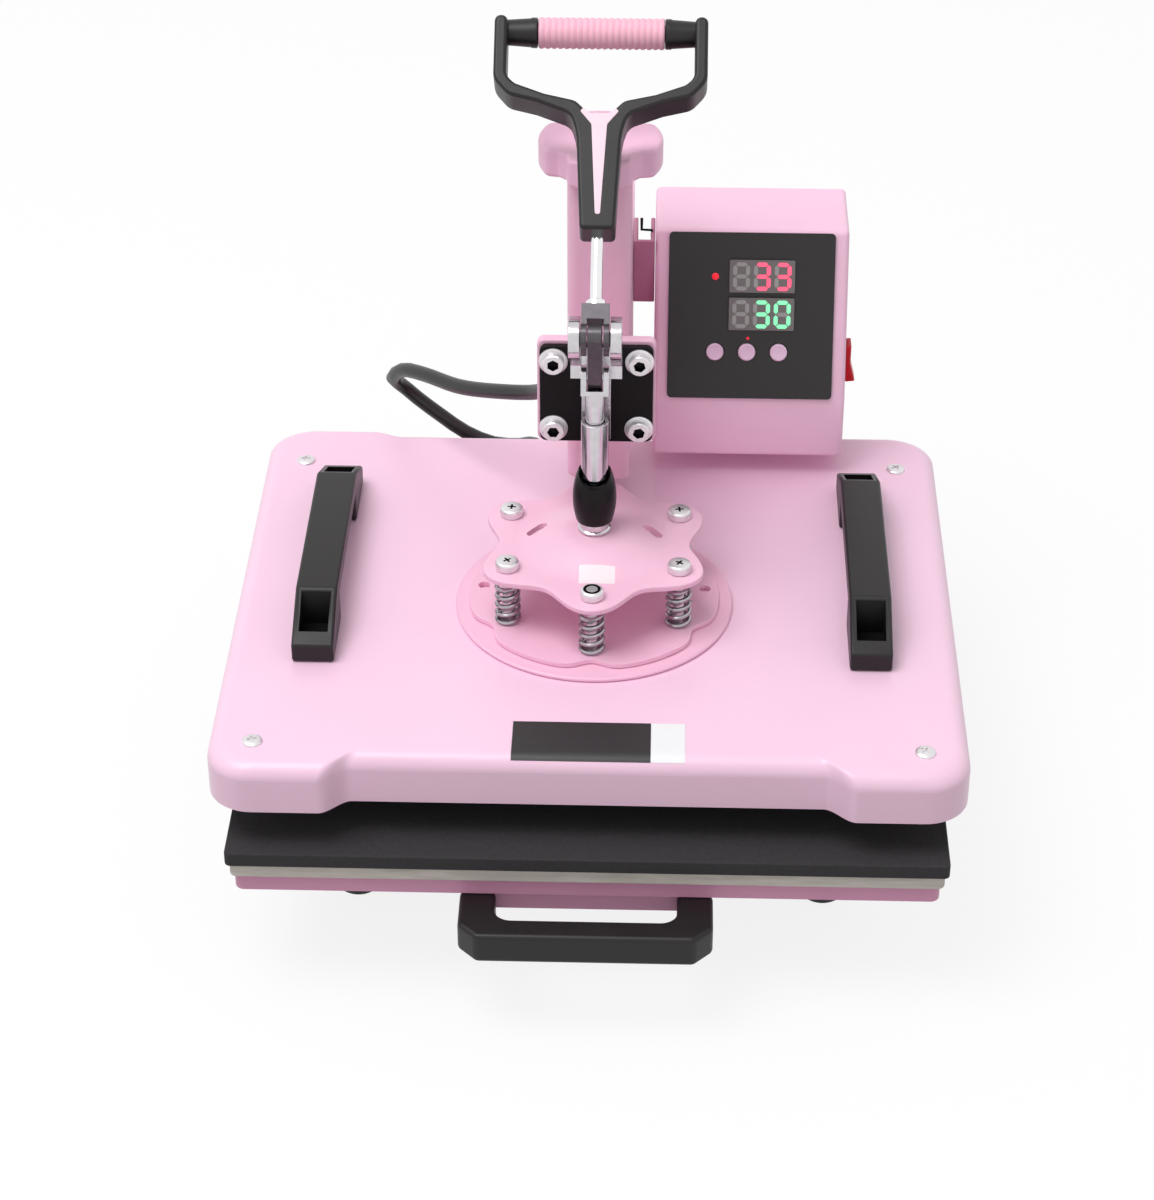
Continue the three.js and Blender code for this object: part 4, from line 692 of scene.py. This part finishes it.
# Side handles: a sloping foot at each end, with a deep pocket for its screw. Its start and
# its end are measured from the handle's end.
POCKET_START, POCKET_END, POCKET_HALF, POCKET_FLOOR = 8, 31, 8, 4.5
pocket_head = cross_head(3.6, 2, 1.8)
for side_name in ("left", "right"):
    node = f"side_handle_{side_name}"
    low, high = box(node)
    mid = (low + high) / 2
    half = (high.y - low.y) / 2
    floor_z = low.z + POCKET_FLOOR
    handle = eased(solid(node + "_moulded", copied(node)), 1.6)
    pockets = []
    for way in (-1, 1):
        end = mid.y + way * half
        near, far = end - way * POCKET_START, end - way * POCKET_END
        pocket = [(near, floor_z), (far, floor_z), (far, high.z + 5), (near, high.z + 5)]
        pockets.append(solid("pocket", side_prism(pocket, mid.x - POCKET_HALF,
                                                  mid.x + POCKET_HALF)))
    cut(handle, *pockets)
    dress(handle, black_plastic, "platen", [node])
    # The pocket's walls and floor are painted near-black as the shade inside the pocket.
    lined(handle, painted_recess_shade, lambda c, n: (
        abs(c.x - mid.x) < POCKET_HALF + 0.1
        and POCKET_START - 0.1 < half - abs(c.y - mid.y) < POCKET_END + 0.1
        and low.z + 4 < c.z < high.z - 0.5 and max(abs(n.x), abs(n.y), abs(n.z)) > 0.99))
    for end_name, way in (("front", -1), ("rear", 1)):
        head = twin(pocket_head, f"{node}_screw_{end_name}",
                    spot(mid.x, mid.y + way * (half - 14), floor_z - 0.1))
        dress(head, dark_steel, "platen")
bpy.data.objects.remove(pocket_head)

# The blank label on the cover: black, with a white end. It follows the roll of the front edge.
LABEL_THICK, LABEL_SUNK = 0.3, 0.1
LABEL_FLAT = 25  # how much of it lies on the flat top
LABEL_DARK, LABEL_LIGHT = (-40, 32.8), (32.9, 50.8)


def label_strip(x0, x1):
    """A thin strip from the flat top on to the start of the roll, as rows of points across x."""
    roll_y = cover_low.y + FRONT_RECESS + COVER_ROLL
    path = [(roll_y + LABEL_FLAT - LABEL_FLAT * k / 6, 0.0) for k in range(6)]
    path += [(roll_y, radians(6 * k)) for k in range(8)]
    rings = []
    for y, a in path:
        row = []
        for x, rise in ((x0, -LABEL_SUNK), (x0, LABEL_THICK), (x1, LABEL_THICK),
                        (x1, -LABEL_SUNK)):
            radius = COVER_ROLL + rise
            row.append((x, y - radius * sin(a), cover_high.z - COVER_ROLL + radius * cos(a)))
        rings.append(row)
    return loft(rings)


dress(solid("label_dark", label_strip(*LABEL_DARK)), label_black, "platen")
dress(solid("label_light", label_strip(*LABEL_LIGHT)), label_white, "platen")

# -------------------------------- plunger

STAR_THICK = 3.5
STAR_RADIUS, STAR_LOBE = 59.75, 7.25
STAR_STEPS = 180
BORE = 5.6  # of the star plate, the nut and the sleeve
DOME_OUT, DOME_IN = 43, 12
star_low, star_high = box("star_plate")
star_top = star_low.z + STAR_THICK
dome_height = star_high.z - star_top


def dome_rise(radius):
    """How far the dome rises above the flat rim, at a radius."""
    share = min(max((DOME_OUT - radius) / (DOME_OUT - DOME_IN), 0), 1)
    return dome_height * bend(share)


def star_ring(share, drop):
    """A ring between the bore (share 0) and the lobed rim (share 1), drop below the top skin."""
    ring = []
    for i in range(STAR_STEPS):
        a = 2 * pi * i / STAR_STEPS
        rim = STAR_RADIUS - STAR_LOBE * cos(6 * a)
        radius = BORE + share * (rim - BORE)
        ring.append((radius * cos(a), radius * sin(a), star_top + dome_rise(radius) - drop))
    return ring


shares = [k / 22 for k in range(23)]
top_rings = [star_ring(share, 0) for share in shares[:-1]]
rim_rings = [star_ring(0.988, 0), star_ring(0.997, 0.3), star_ring(1, 0.9),
             star_ring(1, STAR_THICK - 0.7), star_ring(0.988, STAR_THICK)]
under_rings = [star_ring(share, STAR_THICK) for share in reversed(shares[:-1])]
star = solid("star_plate_pressed", loft(top_rings + rim_rings + under_rings, "joined"), on_axis)
SLOT_X, SLOT_Y, SLOT_TURN = 32, 9, 45
slot_outline = rectangle(-6.5, 6.5, -3.25, 3.25, 3.2)
cut(star, *[solid("slot", prism(slot_outline, star_low.z - 5, star_high.z + 5),
                  spot(way * SLOT_X, AXIS_Y + SLOT_Y, 0) @ about("Z", -SLOT_TURN * way))
            for way in (-1, 1)])
dress(star, pink_paint, "plunger", ["star_plate"], sharp=50)

FILM_LOW, FILM_HIGH = 0.02, 0.14  # above the star plate's skin
FILM_STEPS = 10


def film(x0, x1, y0, y1):
    """A thin blank film that follows the star plate's dome."""
    steps = range(FILM_STEPS + 1)
    cells = range(FILM_STEPS)
    bm = bmesh.new()
    layers = []
    for level in (FILM_LOW, FILM_HIGH):
        rows = []
        for j in steps:
            y = y0 + (y1 - y0) * j / FILM_STEPS
            rows.append([])
            for i in steps:
                x = x0 + (x1 - x0) * i / FILM_STEPS
                z = star_top + level + dome_rise(Vector((x, y)).length)
                rows[-1].append(bm.verts.new((x, y, z)))
        layers.append(rows)
    under, over = layers
    for j in cells:
        for i in cells:
            bm.faces.new((over[j][i], over[j][i + 1], over[j + 1][i + 1], over[j + 1][i]))
            bm.faces.new((under[j][i], under[j + 1][i], under[j + 1][i + 1], under[j][i + 1]))
    last = FILM_STEPS
    rim = [(0, i) for i in cells] + [(j, last) for j in cells]
    rim += [(last, last - i) for i in cells] + [(last - j, 0) for j in cells]
    skin(bm, [under[j][i] for j, i in rim], [over[j][i] for j, i in rim])
    return bm


dress(solid("star_patch", film(-7.5, 12, -41, -28.5), on_axis), patch_film, "plunger")

low, high = box("flange_nut")
nut = lathe([(BORE, low.z), (8.7, low.z), (9, low.z + 0.3), (9, low.z + 1.4), (7.9, low.z + 2.2),
             (7.9, high.z - 0.6), (7.4, high.z), (BORE, high.z)])
dress(solid("flange_nut_turned", nut, on_axis), chrome, "plunger", ["flange_nut"])

SLEEVE_RADIUS, SLEEVE_SWELL = 9, 3
SLEEVE_MOUTH = 7.9
low, high = box("rubber_sleeve")
profile = [(BORE, low.z), (8.4, low.z)]
for k in range(13):
    t = k / 12
    swell = sin(pi * min(1, 0.08 + 0.92 * t)) ** 0.8
    profile.append((SLEEVE_RADIUS + SLEEVE_SWELL * swell, low.z + 0.6 + (high.z - low.z - 1.2) * t))
profile += [(8.7, high.z), (SLEEVE_MOUTH, high.z), (SLEEVE_MOUTH, high.z - 8), (BORE, high.z - 8)]
sleeve = solid("rubber_sleeve_moulded", lathe(profile, 64), on_axis)
saddle = solid("saddle", placed(lathe([(0, -30), (9.5, -30), (9.5, 0), (0, 0)], 64),
                                spot(0, AXIS_Y - 2, high.z + 2.5) @ about("X", -90)))
cut(sleeve, saddle)
dress(sleeve, black_rubber, "plunger", ["rubber_sleeve"])
refined("plunger_rod", chrome, "plunger", 0.5)

# -------------------------------- toggle and carriage

refined("toggle_link", dark_steel, "link", 0.6)
refined("toggle_frame", chrome, "carriage", 1.0)
refined("mounting_plate", pink_paint, "carriage", 1.2)
refined("carriage_block", pink_paint, "carriage", 0.8)
refined("carriage_nut", zinc, "carriage", 0.6)

BASE_THICK = 3.5
BOLT_X, BOLT_Z, BOLT_TOP, SOCKET = 23.5, 21, 5.9, 3.4
low, high = box("toggle_base")
mid_z = centre("toggle_base").z
plate_front = high.y - BASE_THICK
base_plate = solid("toggle_base_plate", placed(
    prism(rectangle(low.x, high.x, low.z, high.z, 4), -high.y, -plate_front), about("X", 90)))
dress(eased(base_plate, 0.8), black_steel, "carriage", ["toggle_base"])
for i, (x, z) in enumerate([(way_x * BOLT_X, mid_z + way_z * BOLT_Z)
                            for way_z in (-1, 1) for way_x in (-1, 1)]):
    bolt = solid(f"toggle_bolt_{i + 1}", lathe([
        (0, 0), (7.6, 0), (7.9, 0.3), (7.9, 1.2), (7.3, 1.5), (6.1, 1.6), (6.1, 5.2),
        (5.5, BOLT_TOP), (0, BOLT_TOP),
    ], 40))
    cut(bolt, solid("socket", prism(wave(lambda a: SOCKET, 6), 2.6, 9), about("Z", 15 * i)))
    bolt.data.transform(spot(x * MM, plate_front * MM, z * MM) @ about("X", 90))
    dress(bolt, satin_nickel, "carriage")
    # The hex socket's walls and floor are painted near-black as the shade inside it.
    lined(bolt, painted_recess_shade, lambda c, n: (
        c.y > plate_front - BOLT_TOP + 0.1 and Vector((c.x - x, c.z - z)).length < SOCKET + 0.1))


def ribs(radius, narrowing, groove, start, pitch):
    """Eight steps of a gland's ribbed tail, as points of a profile."""
    return [(radius - narrowing * k - (groove if k % 2 else 0), start + pitch * k)
            for k in range(1, 9)]


gland_bore = CABLE_RADIUS + 0.2
gland = lathe([(gland_bore, 0), (7, 0), (7, 3), (6.6, 3.6), *ribs(6.5, 0.1, 0.35, 3.6, 0.9),
               (5.3, 12), (gland_bore, 12)], 32)
dress(solid("cable_gland_ribbed", gland,
            spot(cable_start.x, gland_low.y, cable_start.z) @ about("X", -90)),
      black_rubber, "carriage", ["cable_gland"])

# -------------------------------- lever

# Drawn upright from the lever's pin, then leaned back.
LEAN = 48
LEVER_PIN_Z = 308.6
CLEVIS_TOP = 18.01
lever_place = spot(0, AXIS_Y, LEVER_PIN_Z) @ about("X", -LEAN)
clevis = solid("toggle_clevis", copied("toggle_lever"))
cut(clevis, solid("above", block(-20, 20, -20, 20, CLEVIS_TOP, 90), lever_place))
dress(eased(clevis, 0.7), dark_steel, "lever", ["toggle_lever"])
shank = lathe([(0, 17.5), (5.4, 17.5), (5.4, 20.6), (4.9, 21.2), (3.2, 21.4), (3.2, 60),
               (0, 60)], 40)
dress(solid("lever_shank", shank, lever_place), bright_chrome, "lever")

FORK_THICK = 22
right_side = [
    (9.4, 58, 2.5), (12, 109, 0), (13, 115, 8), (15.5, 123, 8), (34, 130, 0), (49.5, 133.7, 10),
    (57.6, 143, 10), (57.6, 180, 3.3), (50.6, 180, 3.3), (50.6, 145, 8), (46, 140.6, 8),
    (30, 134.8, 0), (13, 131, 8), (5.5, 123.5, 5),
]
left_side = [(-x, z, r) for x, z, r in reversed(right_side)]
fork_outline = rounded(right_side + left_side, 5)
fork = solid("y_handle_moulded", placed(
    prism(fork_outline, -FORK_THICK / 2, FORK_THICK / 2), about("X", 90)), lever_place)
eased(fork, 2.0, 4, 50)
dress(fork, black_plastic, "lever", ["y_handle"])

insert_side = [(1.4, 66, 1.2), (4.2, 117, 3), (10.4, 124.5, 1), (8.6, 126.4, 1), (5.5, 123.4, 3)]
insert_outline = rounded(insert_side + [(-x, z, r) for x, z, r in reversed(insert_side)], 4)
insert = solid("handle_insert", placed(
    prism(insert_outline, FORK_THICK / 2 - 1, FORK_THICK / 2 + 0.35), about("X", 90)), lever_place)
dress(eased(insert, 0.25, 2), insert_plastic, "lever")

BAR_LIFT, BAR_HALF, BAR_RADIUS = 174, 51, 4.5
GRIP_BORE, GRIP_HALF, GRIP_RIBS = 4.6, 34.25, 20
across_bar = lever_place @ spot(0, 0, BAR_LIFT) @ about("Y", 90)
bar = lathe([(0, -BAR_HALF), (BAR_RADIUS, -BAR_HALF), (BAR_RADIUS, BAR_HALF), (0, BAR_HALF)], 32)
dress(solid("grip_bar", bar, across_bar), black_steel, "lever")
for side_name, turn in (("left", 180), ("right", 0)):
    collar = lathe([(GRIP_BORE, 34.4), (7.6, 34.4), (8.2, 35), (8.2, 37.6), (7.8, 38.2),
                    (7.0, 49.8), (7.0, BAR_HALF), (GRIP_BORE, BAR_HALF)])
    dress(solid(f"grip_collar_{side_name}", placed(collar, about("X", turn)), across_bar),
          black_plastic, "lever")
rib = 2 * GRIP_HALF / GRIP_RIBS
grip_profile = [(GRIP_BORE, -GRIP_HALF)]
for k in range(GRIP_RIBS):
    start = rib * k - GRIP_HALF
    grip_profile += [(radius, start + share * rib) for radius, share in (
        (7.75, 0.1), (8.4, 0.3), (8.5, 0.55), (8.3, 0.8))]
grip_profile += [(7.7, GRIP_HALF), (GRIP_BORE, GRIP_HALF)]
dress(solid("grip_sleeve_ribbed", lathe(grip_profile, 56), across_bar), grip_foam, "lever",
      ["grip_sleeve"], sharp=60)

# -------------------------------- arm and adjuster

# The column's two long front edges are rounder than the rest.
COLUMN_HALF, COLUMN_ROUND = 18, 5.5
ABOVE_BEAM = 340
arm = copied("swing_arm")
column_front = min(v.co.y for v in arm.verts if v.co.z > ABOVE_BEAM)
front_edges = [edge for edge in arm.edges
               if all(abs(v.co.y - column_front) < 0.1 and abs(abs(v.co.x) - COLUMN_HALF) < 0.1
                      for v in edge.verts)
               and abs(edge.verts[0].co.z - edge.verts[1].co.z) > 20]
bmesh.ops.bevel(arm, geom=front_edges, offset=COLUMN_ROUND, segments=6, profile=0.5,
                affect="EDGES")
dress(eased(solid("swing_arm_eased", arm), 1.6), pink_paint, "arm", ["swing_arm"])
refined("swing_shaft", zinc, "arm", 0.6)

KNOB_RADIUS, KNOB_NOTCH = 34.5, 4.9
KNOB_UNDER, KNOB_OVER = 3, 2.8  # how round its lower and upper edges are
low, high = box("pressure_knob")


def knob_ring(inset, z):
    """Four broad lobes, parted by four short notches, drawn in by inset."""
    def radius(a):
        from_notch = abs((a % (pi / 2)) - pi / 4) / (pi / 4)
        rise = bend(min(max((from_notch - 0.11) / 0.27, 0), 1))
        return KNOB_RADIUS - KNOB_NOTCH * (1 - rise) - inset
    return [(x, y, z) for x, y in wave(radius, 240)]


knob_rings = []
for share in (0, 0.25, 0.5, 0.75, 1):
    a = share * pi / 2
    knob_rings.append(knob_ring(KNOB_UNDER * (1 - sin(a)), low.z + KNOB_UNDER * (1 - cos(a))))
for share in (0, 0.2, 0.4, 0.6, 0.8, 1):
    a = share * pi / 2
    knob_rings.append(knob_ring(KNOB_OVER * (1 - cos(a)), high.z - KNOB_OVER * (1 - sin(a))))
dress(solid("pressure_knob_moulded", loft(knob_rings), spot(*centre("pressure_knob").xy, 0)),
      knob_plastic, "adjuster", ["pressure_knob"], sharp=60)
refined("pressure_screw", zinc, "adjuster", 0.4, 2)

# -------------------------------- control box

SLANT, KNEE = 20, 38
WALL = 2
WINDOW_LIFT, WINDOW_HALF_Y, WINDOW_HALF_Z = 53.5, 5.5, 14.5
box_low, box_high = box("control_housing")
box_front, knee_z = box_low.y, box_low.z + KNEE
top_y = box_front + (box_high.z - knee_z) * tan(radians(SLANT))
side_view = [(box_front, box_low.z), (box_high.y, box_low.z), (box_high.y, box_high.z),
             (top_y, box_high.z), (box_front, knee_z)]
housing = eased(solid("control_housing_folded",
                      side_prism(side_view, box_low.x, box_high.x)), 3, 5)
back = WALL * tan(radians(90 - SLANT) / 2)
hollow = [(box_front + WALL, box_low.z + WALL), (box_high.y + 2, box_low.z + WALL),
          (box_high.y + 2, box_high.z - WALL), (top_y + back, box_high.z - WALL),
          (box_front + WALL, knee_z + WALL * tan(radians(SLANT / 2)))]
rocker_low, rocker_high = box("rocker_switch")
rocker_y = (rocker_low.y + rocker_high.y) / 2
window_z = box_low.z + WINDOW_LIFT
window = block(box_high.x - 5, box_high.x + 5, rocker_y - WINDOW_HALF_Y, rocker_y + WINDOW_HALF_Y,
               window_z - WINDOW_HALF_Z, window_z + WINDOW_HALF_Z)

# The slanted face's own frame: x across it, y up it from the knee, z out of it.
face_place = spot((box_low.x + box_high.x) / 2, box_front, knee_z) @ about("X", 90 - SLANT)
KEYS = [("set_button", "set_key", -20.5), ("up_button", "up_key", -2),
        ("down_button", "down_key", 16.5)]
KEY_Y, KEY_BORE = 29, 5.5


def key_bores():
    """A cutter for each key."""
    profile = [(0, -6), (KEY_BORE, -6), (KEY_BORE, 3), (0, 3)]
    return [solid("bore", placed(lathe(profile), spot(x, KEY_Y, 0)), face_place)
            for _, _, x in KEYS]


cut(housing, solid("hollow", side_prism(hollow, box_low.x + WALL, box_high.x - WALL)),
    solid("window", window), *key_bores())
dress(housing, box_paint, "arm", ["control_housing"])
refined("control_back_cover", rose_paint, "arm", 0.5, 2)
refined("control_bracket", mauve_paint, "arm", 0.8)

# A bent wire clip stands on the bracket and leans on the box.
low, high = box("control_bracket")
clip_path = [Vector((low.x + x, low.y + 12, high.z + z))
             for x, z in ((4.5, 8.5), (4.5, 1.2), (10.5, 0.9), (10.5, -3))]
dress(solid("bracket_clip", tube(clip_path, 0.9)), black_steel, "arm")

MAINS_BORE = 3.9
mid = centre("mains_gland")
gland = lathe([(MAINS_BORE, 0), (7, 0), (7, 2.2), (6.2, 2.8), *ribs(6.0, 0.14, 0.4, 2.8, 0.85),
               (4.8, 11), (MAINS_BORE, 11)], 32)
dress(solid("mains_gland_ribbed", gland,
            spot(mid.x, box("mains_gland")[0].y, mid.z) @ about("X", -90)),
      black_rubber, "arm", ["mains_gland"])

panel = solid("control_panel_film", prism(rectangle(-48, 48, 1.5, 98.5, 2.5), 0.3, 1.8),
              face_place)
cut(panel, *key_bores())
dress(eased(panel, 0.4, 2), panel_film, "arm", ["control_panel"])

for node, body, x in KEYS:
    key = lathe([(0, -3.2), (5, -3.2), (5, 3.2), (4.5, 3.75), (3.9, 3.8), (3.6, 3.55),
                 (0, 3.45)], 40)
    dress(solid(node + "_moulded", key, face_place @ spot(x, KEY_Y, 0)), button_rubber, body,
          [node])

# The bars of a digit, between points of a grid about its middle.
BARS = {
    "a": ((-1, 2), (1, 2)), "b": ((1, 2), (1, 0)), "c": ((1, 0), (1, -2)),
    "d": ((-1, -2), (1, -2)), "e": ((-1, 0), (-1, -2)), "f": ((-1, 2), (-1, 0)),
    "g": ((-1, 0), (1, 0)),
}
LIT = {"0": "abcdef", "3": "abcdg", " ": ""}
DIGIT_X, DIGIT_PITCH, STEP_X, STEP_Y = -6, 12, 3.7, 3.5
BAR_GAP, BAR_HALF_WIDTH = 0.35, 1.2
WINDOW_HEIGHT, WINDOW_BACK, WINDOW_FACE, BAR_FACE = 19, 2.1, 4.1, 4.25


def display_bars(text, middle_y, lit):
    """The lit or the unlit bars of a row of digits, as thin raised hexagons."""
    parts = []
    for place, character in enumerate(text):
        middle_x = DIGIT_X + place * DIGIT_PITCH
        for bar, corners in BARS.items():
            if (bar in LIT[character]) != lit:
                continue
            a, b = [Vector((middle_x + x * STEP_X, middle_y + y * STEP_Y)) for x, y in corners]
            along = (b - a).normalized()
            aside = Vector((-along.y, along.x)) * BAR_HALF_WIDTH
            a += along * BAR_GAP
            b -= along * BAR_GAP
            point = along * BAR_HALF_WIDTH
            outline = [a, a + point + aside, b - point + aside, b, b - point - aside,
                       a + point - aside]
            parts.append(prism([tuple(p) for p in outline], WINDOW_FACE, BAR_FACE))
    return merged(*parts)


for node, text, y0, light in (("temperature_display", " 33", 64, red_light),
                              ("time_display", " 30", 42, green_light)):
    window = prism(rectangle(-13, 25, y0, y0 + WINDOW_HEIGHT, 0.8), WINDOW_BACK, WINDOW_FACE)
    dress(eased(solid(node + "_window", window, face_place), 0.3, 2), display_window, "arm",
          [node])
    for kind, lit, look in (("unlit", False, unlit_bar), ("lit", True, light)):
        bars = display_bars(text, y0 + WINDOW_HEIGHT / 2, lit)
        dress(solid(f"{node}_{kind}", bars, face_place), look, "arm")

lamp = lathe([(0, 1.8), (2.1, 1.8), (2.0, 2.5), (1.4, 3.0), (0, 3.2)], 24)
dress(solid("heat_lamp", lamp, face_place @ spot(-21, 73, 0)), lamp_red, "arm")
led = lathe([(0, 1.8), (0.9, 1.8), (0.8, 2.2), (0, 2.4)], 20)
dress(solid("small_lamp", led, face_place @ spot(-1.5, 37, 0)), lamp_red, "arm")

refined("rocker_switch", red_plastic, "power_rocker", 0.7)

# -------------------------------- floor, lights and world


def background_rays(tree):
    """An output that is 1 for the rays that show the background itself, and 0 for others."""
    rays = tree.nodes.new("ShaderNodeLightPath")
    seen = tree.nodes.new("ShaderNodeMath")
    seen.operation = "MAXIMUM"
    either = tree.nodes.new("ShaderNodeMath")
    either.operation = "MAXIMUM"
    tree.links.new(rays.outputs["Is Camera Ray"], seen.inputs[0])
    tree.links.new(rays.outputs["Is Glossy Ray"], seen.inputs[1])
    tree.links.new(seen.outputs[0], either.inputs[0])
    tree.links.new(rays.outputs["Is Transmission Ray"], either.inputs[1])
    return either.outputs[0]


# The floor looks nearly white, but throws only a little light back on the press.
FLOOR_HALF, FLOOR_TOP, FLOOR_THICK = 3000, -0.2, 19.8
FLOOR_GLOW = 0.85
FLOOR_DARK, FLOOR_PALE = 0.38, 0.95
floor = solid("floor", block(-FLOOR_HALF, FLOOR_HALF, -FLOOR_HALF, FLOOR_HALF,
                             FLOOR_TOP - FLOOR_THICK, FLOOR_TOP))
floor_look = bpy.data.materials.new("floor")
floor_look.use_nodes = True
tree = floor_look.node_tree
tree.nodes.remove(tree.nodes["Principled BSDF"])
diffuse = tree.nodes.new("ShaderNodeBsdfDiffuse")
glow = tree.nodes.new("ShaderNodeEmission")
glow.inputs["Color"].default_value = (1, 1, 1, 1)
glow.inputs["Strength"].default_value = 1.0
shown = background_rays(tree)
share = tree.nodes.new("ShaderNodeMath")
share.operation = "MULTIPLY"
share.inputs[1].default_value = FLOOR_GLOW
tree.links.new(shown, share.inputs[0])
tone = tree.nodes.new("ShaderNodeMapRange")
tone.inputs["To Min"].default_value = FLOOR_DARK
tone.inputs["To Max"].default_value = FLOOR_PALE
tree.links.new(shown, tone.inputs["Value"])
tree.links.new(tone.outputs["Result"], diffuse.inputs["Color"])
mix = tree.nodes.new("ShaderNodeMixShader")
tree.links.new(share.outputs[0], mix.inputs["Fac"])
tree.links.new(diffuse.outputs[0], mix.inputs[1])
tree.links.new(glow.outputs[0], mix.inputs[2])
tree.links.new(mix.outputs[0], tree.nodes["Material Output"].inputs["Surface"])
floor.data.materials.append(floor_look)

PRESS_MIDDLE = Vector((0, 0, 0.2))


def area_light(name, place, size, power):
    """A square soft light that looks at the middle of the press, in metres and watts."""
    data = bpy.data.lights.new(name, "AREA")
    data.shape = "SQUARE"
    data.size = size
    data.energy = power
    lamp_object = bpy.data.objects.new(name, data)
    bpy.context.collection.objects.link(lamp_object)
    lamp_object.location = place
    towards = PRESS_MIDDLE - Vector(place)
    lamp_object.rotation_euler = towards.to_track_quat("-Z", "Y").to_euler()


area_light("key", (-0.9, -0.5, 2.7), 1.6, 46)
area_light("front_fill", (0.9, -2.6, 1.0), 1.4, 2)

WORLD_LIGHT = 0.6
world = bpy.data.worlds.new("studio")
bpy.context.scene.world = world
world.use_nodes = True
tree = world.node_tree
background = tree.nodes["Background"]
background.inputs["Color"].default_value = (1, 1, 1, 1)
level = tree.nodes.new("ShaderNodeMapRange")
level.inputs["To Min"].default_value = WORLD_LIGHT
level.inputs["To Max"].default_value = 1.0
tree.links.new(background_rays(tree), level.inputs["Value"])
tree.links.new(level.outputs["Result"], background.inputs["Strength"])

bpy.context.scene.view_settings.view_transform = "Standard"
